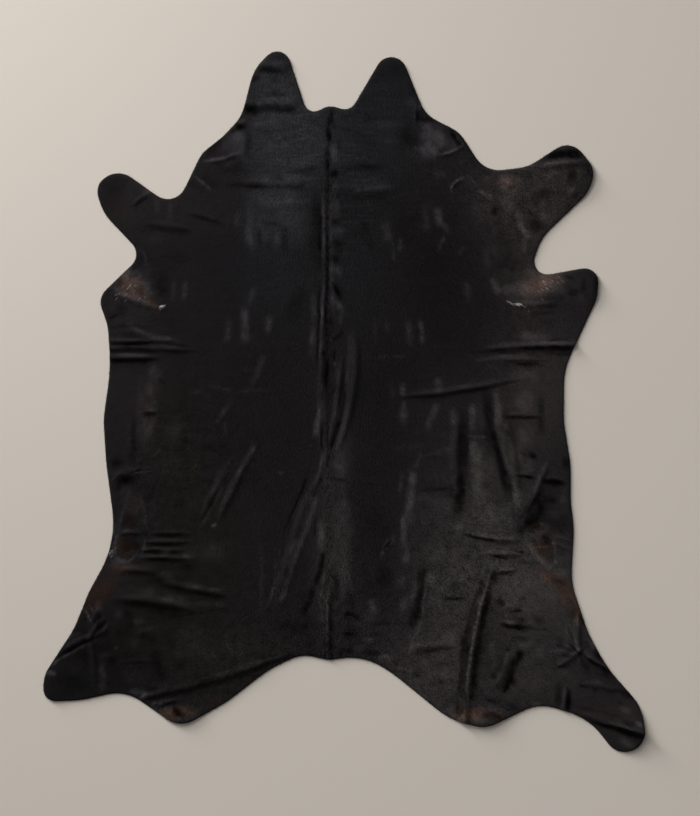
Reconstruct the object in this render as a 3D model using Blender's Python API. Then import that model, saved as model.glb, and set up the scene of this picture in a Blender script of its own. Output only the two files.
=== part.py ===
"""A hair-on cowhide rug, laid flat with its hair side up.  Metres, +Z up.

The whole rug is one skin, so it is one solid: a thin sheet of even thickness, cut to the
outline of the animal, with its folds and swells standing up from the floor.

The origin is on the floor at the middle of the rug's bounding box.  +Y points along the
spine towards the neck, and +X is the right-hand side seen from above.
"""

import math

import bmesh
import bpy
import numpy as np
from mathutils import Vector
from mathutils.geometry import delaunay_2d_cdt

CM = 0.01                     # the tables below are in centimetres

# Thickness of the sheet.
SKIN_THICKNESS = 0.0020       # the tanned skin
COAT_THICKNESS = 0.0025       # the short hair as it lies pressed on the skin
SHEET_THICKNESS = SKIN_THICKNESS + COAT_THICKNESS

# How finely the shapes are cut into flat facets.
ARC_STEP = 0.5 * CM           # along an arc of the outline before it is evened out
RIM_STEP = 1.5 * CM           # between the points of the finished rim
SOFTENING = 1.0 * CM          # reach of the averaging that eases one arc into the next
STATION_STEP = 2.8 * CM       # between the rows of points across a fold
TALL_FOLD = 0.7 * CM          # a fold this high has two more rows of points on its flanks
FLANK_SHARE = 0.45            # place of those rows, as a share of the fold's half width
RING_SHARES = (0.0, 0.36, 0.7, 1.0)   # rings of points round a swell
RING_POINTS = 11
CREST_RUNS = 23               # straight runs that stand in for a crest when a lift is found
POINT_GAP = 0.6 * CM          # two points of the sheet are never nearer than this
CROSSING_TOLERANCE = 1e-7     # two points of the plan nearer than this are one point
TRIANGLES_WITHIN_EDGES = 1    # the triangulation leaves out what lies outside the rim

# How a fold eases in at its ends.
TAPER_SHARE = 0.35            # share of a fold's length over which it rises to full height
TIP_WIDTH_SHARE = 0.6         # a fold's width where it dies out, as a share of its full width

# The coat as a plain surface: linear colour, then roughness.
COAT_COLOUR = (0.012, 0.011, 0.012, 1.0)
COAT_ROUGHNESS = 0.55

# The outline is a belt run clockwise, seen from above, round these circles.  It passes
# over the outside of a lobe and round the inside of a bay, with a straight run between.
LOBE = 1
BAY = -1
# name, kind, centre x, centre y, radius
EDGE_CIRCLES = [
    ("neck", LOBE, -4.2, 84.3, 4.5),
    ("right neck dip", BAY, 0.2, 91.1, 3.3),
    ("right cheek tip", LOBE, 14.0, 98.8, 4.7),
    ("right cheek root", BAY, 32.0, 93.5, 10.0),
    ("right side of neck", LOBE, 28.3, 74.3, 8.8),
    ("right shoulder bay, neck end", BAY, 46.3, 77.9, 8.3),
    ("right shoulder bay, leg end", BAY, 50.4, 83.3, 13.2),
    ("right foreleg top", LOBE, 66.7, 71.5, 5.6),
    ("right foreleg tip", LOBE, 68.8, 68.4, 5.8),
    ("right foreleg underside", LOBE, 62.6, 69.3, 12.0),
    ("right foreleg root", BAY, 71.2, 41.6, 14.0),
    ("right armpit", BAY, 60.8, 42.3, 4.0),
    ("right elbow tip", LOBE, 72.1, 36.2, 4.0),
    ("right elbow side", LOBE, 65.9, 33.7, 10.0),
    ("right waist, upper", BAY, 87.8, 5.0, 22.0),
    ("right waist, lower", BAY, 91.7, -3.6, 26.0),
    ("right belly", LOBE, 39.8, -21.0, 28.0),
    ("right belly hollow", BAY, 97.8, -28.0, 30.0),
    ("right hip", LOBE, 43.7, -38.5, 25.0),
    ("right flank", BAY, 90.1, -51.0, 22.0),
    ("right thigh", BAY, 98.8, -58.0, 28.0),
    ("right hock", BAY, 111.6, -56.4, 40.0),
    ("right hind foot", LOBE, 74.6, -98.0, 15.3),
    ("right hind toe", LOBE, 84.0, -98.8, 6.1),
    ("right instep", BAY, 61.2, -112.0, 20.0),
    ("right hem bay", BAY, 59.4, -103.6, 12.5),
    ("right rump", LOBE, 41.4, -88.4, 9.0),
    ("right rump, tail side", LOBE, 41.6, -75.0, 22.0),
    ("right tail bay, outer", BAY, -4.2, -107.4, 32.0),
    ("right tail bay, inner", BAY, 1.7, -94.6, 18.0),
    ("tail stub", LOBE, -4.6, -74.2, 3.1),
    ("left tail bay, inner", BAY, -11.7, -86.0, 10.0),
    ("left tail bay, outer", BAY, -3.6, -110.9, 36.0),
    ("left hem", LOBE, -51.9, -64.8, 30.0),
    ("left rump", LOBE, -48.9, -88.9, 7.5),
    ("left hem bay", BAY, -68.3, -99.8, 12.5),
    ("left hind sole", LOBE, -82.9, -59.5, 30.0),
    ("left hind toe", LOBE, -86.7, -86.1, 3.6),
    ("left hind foot", LOBE, -81.2, -84.6, 9.0),
    ("left hock", BAY, -98.9, -58.6, 20.0),
    ("left thigh", LOBE, -54.9, -67.1, 24.0),
    ("left flank", BAY, -99.4, -36.0, 30.0),
    ("left belly, lower", LOBE, -45.6, -15.5, 26.0),
    ("left belly, upper", LOBE, -50.2, -5.8, 22.0),
    ("left waist", BAY, -128.4, 12.5, 58.0),
    ("left elbow hollow", BAY, -85.8, 19.9, 15.0),
    ("left elbow", LOBE, -68.2, 30.0, 5.0),
    ("left armpit", BAY, -66.8, 44.4, 4.4),
    ("left foreleg underside", LOBE, -59.5, 64.2, 14.5),
    ("left foreleg tip", LOBE, -69.2, 63.2, 4.9),
    ("left foreleg top", LOBE, -67.8, 62.2, 6.5),
    ("left shoulder bay", BAY, -53.0, 66.5, 5.6),
    ("left side of neck", LOBE, -36.0, 69.1, 8.6),
    ("left cheek root, lower", BAY, -45.0, 89.0, 12.6),
    ("left cheek root, upper", BAY, -42.6, 92.1, 13.0),
    ("left cheek", LOBE, -14.6, 92.7, 14.0),
    ("left cheek tip", LOBE, -20.2, 101.2, 4.0),
    ("left neck dip", BAY, -9.1, 90.3, 3.15),
]

# A fold is a soft ridge along a bowed line.  The bow is how far the middle of the line
# stands off to the left of the straight way from start to end.  The width runs from the
# crest to the foot, and the two shares say how much of the height is left at the ends:
# 0 dies out in the sheet, and more than 0 runs out over the rim.
# name, start x, start y, end x, end y, bow, width, height, start share, end share
FOLDS = [
    ("left belly, first", -72.0, 18.4, -57.0, 18.0, 0.0, 1.1, 0.5, 0.6, 0.0),
    ("left belly, second", -72.0, 16.1, -43.0, 15.6, 0.2, 1.2, 0.7, 0.7, 0.0),
    ("left belly, third", -72.0, 13.3, -54.5, 13.5, 0.0, 1.4, 0.9, 0.8, 0.0),
    ("left belly, branch", -57.0, 19.6, -45.5, 16.6, 0.0, 1.3, 0.4, 0.0, 0.0),
    ("right belly, first", 69.5, 17.0, 40.0, 15.9, -0.3, 1.5, 0.8, 0.8, 0.0),
    ("right belly, second", 61.0, 12.9, 38.0, 12.7, 0.0, 1.2, 0.6, 0.0, 0.0),
    ("right loin", 15.0, 2.0, 52.0, 7.4, -1.1, 1.4, 0.5, 0.0, 0.0),
    ("right back, first", 35.0, -3.0, 35.4, -30.0, -2.0, 2.0, 0.5, 0.0, 0.0),
    ("right back, second", 39.3, 2.0, 48.2, -30.0, 0.8, 2.0, 0.6, 0.0, 0.0),
    ("right back, third", 46.2, 4.0, 52.6, -31.0, 0.8, 1.6, 0.4, 0.0, 0.0),
    ("right belly edge", 61.5, -16.5, 52.5, -35.0, 0.8, 1.6, 0.4, 0.0, 0.0),
    ("right flank, first", 35.0, -39.0, 53.0, -41.4, -0.6, 1.2, 0.6, 0.0, 0.0),
    ("right flank, second", 41.5, -45.0, 54.0, -45.8, 0.0, 1.1, 0.5, 0.0, 0.0),
    ("right rump, long", 44.8, -47.5, 35.9, -96.0, -1.7, 2.3, 1.2, 0.0, 0.6),
    ("right rump, short", 51.2, -73.5, 45.2, -87.0, -0.8, 2.4, 0.8, 0.0, 0.0),
    ("right rump, branch", 44.6, -51.2, 52.0, -50.0, 0.0, 1.1, 0.4, 0.0, 0.0),
    ("right thigh wave, first", 46.9, -61.6, 53.8, -61.6, 0.3, 1.4, 0.35, 0.0, 0.0),
    ("right thigh wave, second", 45.5, -66.6, 58.0, -66.8, 0.0, 1.4, 0.4, 0.0, 0.0),
    ("right thigh star, up", 70.4, -74.4, 70.3, -62.0, 0.5, 1.3, 0.6, 0.6, 0.0),
    ("right thigh star, out", 70.4, -74.4, 80.0, -83.5, 0.6, 1.6, 0.8, 0.6, 0.0),
    ("right thigh star, in", 70.4, -74.4, 62.0, -71.5, 0.0, 1.3, 0.5, 0.6, 0.0),
    ("right thigh star, down", 70.4, -74.4, 63.0, -79.5, 0.4, 1.2, 0.4, 0.6, 0.0),
    ("right foot", 68.5, -92.6, 91.5, -100.1, 0.3, 1.9, 1.0, 0.2, 0.8),
    ("right hem bay", 66.5, -85.0, 65.8, -94.0, 0.0, 1.3, 0.5, 0.0, 0.7),
    ("right hem", 19.5, -73.6, 31.5, -73.0, 0.3, 1.5, 0.4, 0.0, 0.0),
    ("right tail lens", 21.5, -52.5, 20.5, -67.5, 0.5, 2.0, 0.5, 0.0, 0.0),
    ("left back, long", -6.6, -19.8, -20.8, -64.0, -1.6, 2.1, 0.8, 0.0, 0.0),
    ("left loin, first", -25.2, -11.5, -38.2, -37.5, -1.0, 1.6, 0.45, 0.0, 0.0),
    ("left loin, second", -32.2, -15.5, -43.8, -37.0, -0.8, 1.5, 0.4, 0.0, 0.0),
    ("left flank, first", -59.0, -39.4, -44.5, -39.4, 0.0, 1.0, 0.4, 0.0, 0.0),
    ("left flank, second", -60.5, -41.8, -46.0, -41.8, 0.0, 1.1, 0.5, 0.0, 0.0),
    ("left flank, third", -62.0, -44.3, -47.0, -44.3, 0.0, 1.1, 0.5, 0.0, 0.0),
    ("left flank, fourth", -62.5, -46.3, -45.0, -46.9, 0.0, 1.1, 0.6, 0.0, 0.0),
    ("left thigh, upper", -68.0, -50.0, -55.0, -51.2, 0.4, 1.5, 0.5, 0.0, 0.0),
    ("left thigh, middle", -57.0, -54.2, -35.0, -58.4, 0.8, 1.7, 0.7, 0.0, 0.0),
    ("left thigh, lower", -69.5, -58.6, -44.0, -62.6, 0.9, 1.9, 0.9, 0.0, 0.0),
    ("left thigh star, up", -76.4, -70.5, -71.5, -64.5, 0.3, 1.4, 0.6, 0.6, 0.0),
    ("left thigh star, out", -76.4, -70.5, -86.0, -75.8, -0.4, 1.6, 0.7, 0.6, 0.3),
    ("left thigh star, down", -76.4, -70.5, -74.6, -87.0, 0.4, 1.5, 0.5, 0.6, 0.0),
    ("left hem", -59.5, -88.2, -16.0, -75.0, -1.2, 1.7, 0.7, 0.5, 0.0),
    ("spine, fore", -6.1, 69.0, -6.6, 18.0, 0.3, 1.2, 0.35, 0.0, 0.0),
    ("spine, middle", -6.4, 18.0, -6.6, -19.0, -0.7, 1.2, 0.35, 0.0, 0.0),
    ("spine, right of it", -0.5, 16.0, -5.0, -16.0, 0.6, 1.3, 0.45, 0.0, 0.0),
    ("spine, lens", 3.4, 22.0, -3.0, -17.0, 2.4, 1.5, 0.5, 0.0, 0.0),
    ("spine, hind", -4.4, -52.0, -4.4, -78.0, 0.0, 1.2, 0.4, 0.0, 0.5),
    ("left cheek, root", -31.3, 89.0, -12.6, 89.6, -0.3, 2.2, 0.6, 0.5, 0.0),
    ("left cheek, middle", -27.0, 100.9, -15.4, 101.3, 0.0, 1.8, 0.4, 0.4, 0.3),
    ("left neck band", -33.0, 65.6, -8.0, 66.0, 0.3, 2.2, 0.35, 0.0, 0.0),
    ("right neck band", -2.0, 64.4, 18.0, 64.2, 0.3, 2.6, 0.35, 0.0, 0.0),
    ("right foreleg", 57.5, 70.0, 73.0, 71.8, 0.7, 1.8, 0.6, 0.0, 0.4),
    ("right armpit", 46.8, 31.6, 65.5, 30.8, -2.2, 1.5, 0.5, 0.0, 0.0),
    ("left armpit", -69.5, 33.6, -52.0, 27.6, -0.8, 1.6, 0.5, 0.0, 0.0),
]

# A swell is a low round rise where the skin was never flat on the animal, or where the
# edge has curled up off the floor.
# name, centre x, centre y, length, breadth, turn in degrees, height
SWELLS = [
    ("left armpit pouch", -63.0, 35.0, 9.0, 6.0, -35.0, 0.9),
    ("right armpit pouch", 60.0, 33.5, 9.5, 5.5, 25.0, 0.9),
    ("left flank pouch", -65.5, -43.0, 7.0, 5.5, 60.0, 0.8),
    ("right flank pouch", 59.5, -43.5, 8.0, 6.0, -55.0, 0.9),
    ("left pocket", -65.8, -21.8, 5.5, 2.8, 0.0, 0.7),
    ("left foreleg curl", -74.0, 64.0, 12.0, 9.0, 60.0, 0.5),
    ("right foreleg curl", 73.5, 68.0, 11.0, 9.0, 60.0, 0.6),
    ("right elbow curl", 75.5, 34.5, 8.0, 6.0, 80.0, 0.6),
    ("left hind curl", -90.0, -85.0, 13.0, 9.0, 40.0, 0.6),
    ("right hind curl", 89.5, -101.5, 13.0, 8.0, 110.0, 0.8),
    ("left rump curl", -49.0, -96.0, 12.0, 6.0, 0.0, 0.5),
    ("right rump curl", 42.0, -97.0, 14.0, 6.0, 0.0, 0.6),
    ("left cheek curl", -20.5, 105.0, 9.0, 7.0, 0.0, 0.5),
    ("right cheek curl", 14.5, 103.5, 9.0, 7.0, 0.0, 0.5),
]


# ---------------------------------------------------------------- outline

def belt_normals(centres, radii):
    """For each pair of neighbouring circles, the unit normal, on the outer side, of the
    straight run between them.  A radius counts as negative at a bay, and the run's offset
    along the line of centres is the difference of the two signed radii."""
    across = np.roll(centres, -1, axis=0) - centres
    length = np.hypot(across[:, 0], across[:, 1])
    sine = (radii - np.roll(radii, -1)) / length
    cosine = np.sqrt(1.0 - sine ** 2)
    along = across / length[:, None]
    left = np.stack([-along[:, 1], along[:, 0]], axis=1)
    return cosine[:, None] * left + sine[:, None] * along


def belt_path(circles):
    """The belt's arcs, circle after circle, as one closed run of points."""
    centres = np.array([row[2:4] for row in circles]) * CM
    radii = np.array([row[1] * row[4] for row in circles]) * CM
    leaving = belt_normals(centres, radii)
    arriving = np.roll(leaving, 1, axis=0)
    points = []
    for centre, radius, first, last in zip(centres, radii, arriving, leaving):
        start = math.atan2(first[1], first[0])
        turn = math.atan2(first[0] * last[1] - first[1] * last[0], float(first @ last))
        count = 2 + int(abs(turn * radius) / ARC_STEP)
        angles = start + np.linspace(0.0, turn, count)
        arc = centre + radius * np.stack([np.cos(angles), np.sin(angles)], axis=1)
        points.extend(arc)
    return np.array(points)


def even_spacing(path, step):
    """The same closed path with its points a steady step apart."""
    closed = np.vstack([path, path[:1]])
    lengths = np.hypot(*np.diff(closed, axis=0).T)
    reach = np.concatenate([[0.0], np.cumsum(lengths)])
    count = int(round(reach[-1] / step))
    wanted = np.arange(count) * reach[-1] / count
    return np.stack([np.interp(wanted, reach, closed[:, axis]) for axis in (0, 1)], axis=1)


def softened(path, step, reach):
    """Each point of an evenly spaced closed path becomes the average of its neighbours
    within the reach, which eases one arc into the next."""
    span = int(round(reach / step))
    shifts = [np.roll(path, shift, axis=0) for shift in range(-span, span + 1)]
    return np.mean(shifts, axis=0)


def hide_outline():
    """The rim of the hide, clockwise seen from above."""
    fine = even_spacing(belt_path(EDGE_CIRCLES), ARC_STEP)
    return even_spacing(softened(fine, ARC_STEP, SOFTENING), RIM_STEP)


# ---------------------------------------------------------------- folds and swells

def fold_line(fold, count):
    """Points along a fold's crest: a parabola that stands off from the straight way by
    the bow at its middle.  Also the shares of its length, from 0 to 1."""
    _, x0, y0, x1, y1, bow = fold[:6]
    start = np.array([x0, y0]) * CM
    end = np.array([x1, y1]) * CM
    way = end - start
    left = np.array([-way[1], way[0]]) / np.hypot(way[0], way[1])
    share = np.linspace(0.0, 1.0, count)
    off = 4.0 * share * (1.0 - share) * bow * CM
    return start + share[:, None] * way + off[:, None] * left, share


def eased(value):
    """0 below 0, 1 above 1, and a soft S between."""
    value = np.clip(value, 0.0, 1.0)
    return value * value * (3.0 - 2.0 * value)


def fold_strength(fold, share):
    """How full a fold is at a share of its length, from 0 to 1, easing up from each
    end."""
    start_share, end_share = fold[8:10]
    rise = start_share + (1.0 - start_share) * eased(share / TAPER_SHARE)
    fall = end_share + (1.0 - end_share) * eased((1.0 - share) / TAPER_SHARE)
    return rise * fall


def fold_width(fold, share):
    """Distance from a fold's crest to its foot, narrower where the fold dies out."""
    strength = fold_strength(fold, share)
    return fold[6] * CM * (TIP_WIDTH_SHARE + (1.0 - TIP_WIDTH_SHARE) * strength)


def soft_hump(distance):
    """1 at the middle, 0 with a level foot from a distance of 1 outwards."""
    return np.clip(1.0 - distance ** 2, 0.0, None) ** 2


def fold_lift(points, fold):
    """How far one fold lifts each point: its height at the nearest place of the crest,
    times a soft hump of the distance from there."""
    line, share = fold_line(fold, CREST_RUNS + 1)
    runs = np.diff(line, axis=0)
    squares = np.einsum("ij,ij->i", runs, runs)
    offsets = points[:, None, :] - line[None, :-1, :]
    along = np.clip(np.einsum("pij,ij->pi", offsets, runs) / squares, 0.0, 1.0)
    nearest = offsets - along[..., None] * runs
    distances = np.hypot(nearest[..., 0], nearest[..., 1])
    best = np.argmin(distances, axis=1)
    rows = np.arange(len(points))
    place = share[best] + along[rows, best] / CREST_RUNS
    height = fold[7] * CM * fold_strength(fold, place)
    return height * soft_hump(distances[rows, best] / fold_width(fold, place))


def swell_frame(swell):
    """A swell's centre and its two half axes, as vectors."""
    _, x, y, length, breadth, turn, _ = swell
    angle = math.radians(turn)
    long_axis = np.array([math.cos(angle), math.sin(angle)]) * length * CM
    short_axis = np.array([-math.sin(angle), math.cos(angle)]) * breadth * CM
    return np.array([x, y]) * CM, long_axis, short_axis


def swell_lift(points, swell):
    """How far one swell lifts each point: a soft hump over an ellipse."""
    centre, long_axis, short_axis = swell_frame(swell)
    away = points - centre
    lengthwise = away @ long_axis / (long_axis @ long_axis)
    sidewise = away @ short_axis / (short_axis @ short_axis)
    return swell[6] * CM * soft_hump(np.hypot(lengthwise, sidewise))


def floor_gap(points):
    """Height of the sheet's underside over the floor: folds and swells added up."""
    folds = sum(fold_lift(points, fold) for fold in FOLDS)
    swells = sum(swell_lift(points, swell) for swell in SWELLS)
    return folds + swells


# ---------------------------------------------------------------- points of the sheet

def fold_rows(fold):
    """Rows of points along a fold: its crest first, then its two feet and, on a tall
    fold, its flanks."""
    run = math.hypot(fold[3] - fold[1], fold[4] - fold[2]) * CM
    line, share = fold_line(fold, 2 + int(run / STATION_STEP))
    ahead = np.gradient(line, axis=0)
    ahead /= np.hypot(ahead[:, 0], ahead[:, 1])[:, None]
    left = np.stack([-ahead[:, 1], ahead[:, 0]], axis=1) * fold_width(fold, share)[:, None]
    shares = [0.0, 1.0, -1.0]
    if fold[7] * CM >= TALL_FOLD:
        shares += [FLANK_SHARE, -FLANK_SHARE]
    return [line + share * left for share in shares]


def swell_points(swell):
    """Rings of points round a swell, each ring turned half a step from the last."""
    centre, long_axis, short_axis = swell_frame(swell)
    points = []
    for ring, share in enumerate(RING_SHARES):
        angles = (np.arange(RING_POINTS) + 0.5 * ring) * 2.0 * math.pi / RING_POINTS
        points.append(centre + share * np.outer(np.cos(angles), long_axis)
                      + share * np.outer(np.sin(angles), short_axis))
    return np.vstack(points)


def inside(points, rim):
    """True where a line drawn from the point towards +X crosses the rim an odd number of
    times."""
    ends = np.roll(rim, -1, axis=0)
    x, y = points[:, :1], points[:, 1:]
    straddles = (rim[:, 1] > y) != (ends[:, 1] > y)
    slope = (ends[:, 0] - rim[:, 0]) / (ends[:, 1] - rim[:, 1] + 1e-12)
    crossing = x < rim[:, 0] + (y - rim[:, 1]) * slope
    return (straddles & crossing).sum(axis=1) % 2 == 1


def sheet_points(rim):
    """The points of the sheet and the edges along its folds.  The rim comes first, then
    every point of the crests, the other rows and the swells that lies within the rim.  A
    point too near one taken before gives way to it."""
    rows = [fold_rows(fold) for fold in FOLDS]
    lines = [row[0] for row in rows] + [line for row in rows for line in row[1:]]
    swells = [swell_points(swell) for swell in SWELLS]
    taken = list(rim)
    fold_edges = []
    for number, line in enumerate(lines + swells):
        last = None
        for point in line[inside(line, rim)]:
            away = np.array(taken) - point
            distance = np.hypot(away[:, 0], away[:, 1])
            place = int(np.argmin(distance))
            if distance[place] > POINT_GAP:
                place = len(taken)
                taken.append(point)
            runs_on = last is not None and last != place and max(last, place) >= len(rim)
            if number < len(lines) and runs_on:
                fold_edges.append((last, place))
            last = place
    return np.array(taken), fold_edges


# ---------------------------------------------------------------- the solid

def coat_material():
    """Short black hair with a soft sheen."""
    material = bpy.data.materials.new("black hair coat")
    material.use_nodes = True
    shader = material.node_tree.nodes["Principled BSDF"]
    shader.inputs["Base Color"].default_value = COAT_COLOUR
    shader.inputs["Roughness"].default_value = COAT_ROUGHNESS
    shader.inputs["Metallic"].default_value = 0.0
    return material


def make_hide():
    """One closed sheet: a face on top, the same face below it by the thickness, and a
    wall round the rim.  The sheet is moved at the end, to bring the middle of the rim's
    box to the origin.  The first points of the triangulation are the rim's, in order."""
    rim = hide_outline()
    points, fold_edges = sheet_points(rim)
    rim_edges = [(i, (i + 1) % len(rim)) for i in range(len(rim))]
    cut = delaunay_2d_cdt([Vector(point) for point in points], rim_edges + fold_edges, [],
                          TRIANGLES_WITHIN_EDGES, CROSSING_TOLERANCE)
    plan = np.array([tuple(point) for point in cut[0]])
    triangles = cut[2]
    heights = floor_gap(plan)
    plan -= (rim.min(axis=0) + rim.max(axis=0)) / 2.0

    model = bmesh.new()
    top = [model.verts.new((x, y, z + SHEET_THICKNESS)) for (x, y), z in zip(plan, heights)]
    bottom = [model.verts.new((x, y, z)) for (x, y), z in zip(plan, heights)]
    for triangle in triangles:
        model.faces.new([top[i] for i in triangle])
        model.faces.new([bottom[i] for i in reversed(triangle)])
    for first, last in rim_edges:
        model.faces.new([top[first], top[last], bottom[last]])
        model.faces.new([top[first], bottom[last], bottom[first]])
    bmesh.ops.recalc_face_normals(model, faces=model.faces)

    mesh = bpy.data.meshes.new("hide")
    model.to_mesh(mesh)
    model.free()
    mesh.materials.append(coat_material())
    bpy.context.collection.objects.link(bpy.data.objects.new("hide", mesh))


for old_object in list(bpy.data.objects):
    bpy.data.objects.remove(old_object, do_unlink=True)

make_hide()
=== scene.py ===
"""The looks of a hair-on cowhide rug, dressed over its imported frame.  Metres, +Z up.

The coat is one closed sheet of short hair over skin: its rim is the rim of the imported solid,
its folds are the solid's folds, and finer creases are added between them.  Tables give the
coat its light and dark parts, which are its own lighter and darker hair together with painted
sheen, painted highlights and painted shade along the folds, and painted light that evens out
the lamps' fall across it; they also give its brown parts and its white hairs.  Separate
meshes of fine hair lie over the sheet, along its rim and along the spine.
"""

import math

import bpy
import numpy as np
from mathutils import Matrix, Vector
from mathutils.geometry import delaunay_2d_cdt


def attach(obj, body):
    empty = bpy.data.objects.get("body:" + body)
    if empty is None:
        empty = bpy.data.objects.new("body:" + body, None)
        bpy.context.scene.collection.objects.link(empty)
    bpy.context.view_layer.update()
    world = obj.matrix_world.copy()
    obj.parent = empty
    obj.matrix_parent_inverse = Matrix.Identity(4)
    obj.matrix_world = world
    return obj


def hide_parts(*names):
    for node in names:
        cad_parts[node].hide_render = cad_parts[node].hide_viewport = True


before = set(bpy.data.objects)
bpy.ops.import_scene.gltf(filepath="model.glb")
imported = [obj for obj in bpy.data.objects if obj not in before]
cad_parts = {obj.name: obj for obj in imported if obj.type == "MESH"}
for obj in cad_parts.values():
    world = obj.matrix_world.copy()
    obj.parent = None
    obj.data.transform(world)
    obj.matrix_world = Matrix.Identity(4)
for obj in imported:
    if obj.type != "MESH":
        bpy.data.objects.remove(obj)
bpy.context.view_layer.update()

MM = 0.001

# The tables below are in millimetres from the point that this vector takes to the origin.
TABLE_SHIFT = np.array([1.01, -1.56]) * MM

# ---- the sheet
SKIN_THICKNESS = 2.0 * MM
COAT_THICKNESS = 2.5 * MM
SHEET_THICKNESS = SKIN_THICKNESS + COAT_THICKNESS

RIM_STEP = 5.0 * MM           # between points along the rim
GRID_STEP = 8.6 * MM          # between the sheet's points where it is plain
DETAIL_STEP = 3.9 * MM        # between them where the coat's level changes fast
DETAIL_SLOPE = 260.0          # a fast change, in levels for a metre
GRID_SHAKE = 0.28             # how far those are shaken, as a share of the step
GRID_ROWS = 0.87              # from row to row of a staggered grid, as a share of the step
ROW_STATION = 7.0 * MM        # between stations along a fold
ROW_SHARES = (0.0, 0.3, -0.3, 0.62, -0.62, 1.0, -1.0)
POINT_GAP = 2.6 * MM          # points of the folds' rows are about this far apart at least
FINE_GAP = 0.6 * POINT_GAP    # and the fine points keep this from them
UNDER_STEP = 22.0 * MM        # between the points of the underside
UNDER_ROW_GAP = 0.2 * UNDER_STEP
UNDER_GRID_GAP = 0.4 * UNDER_STEP
RIM_ROWS = (1.2 * MM, 3.5 * MM, 7.0 * MM)   # rows inside the rim that round the edge over
FINE_RIM_GAP = 0.5 * DETAIL_STEP    # room that the other points leave inside those rows,
GRID_RIM_GAP = 0.4 * GRID_STEP
UNDER_RIM_GAP = 0.3 * UNDER_STEP    # or inside the rim itself
CORNER_DIGITS = 5             # decimals in metres to which the solid's corners are the same
UPPER_FACE = 0.2              # least rise of an upper face's normal
RIM_CUTS = 8                  # runs of the smooth rim between two of the solid's points
POINTS_AT_ONCE = 4000         # for which the distance from the rim is worked out together
CUT_TOLERANCE = 1e-7
KEEP_INSIDE = 1               # the cutter's own number for keeping what the rim encloses
EDGE_ROUND = 6.0 * MM         # the coat thins out over this width along its rim
EDGE_SHARE = 0.42             # share of the thickness that is left at the very rim
CREST_RUNS = 23               # straight runs that stand in for a bowed line

TAPER_SHARE = 0.35            # share of a fold's length over which it rises to full height
TIP_WIDTH_SHARE = 0.6         # a fold's width where it dies out, as a share of its width

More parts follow.
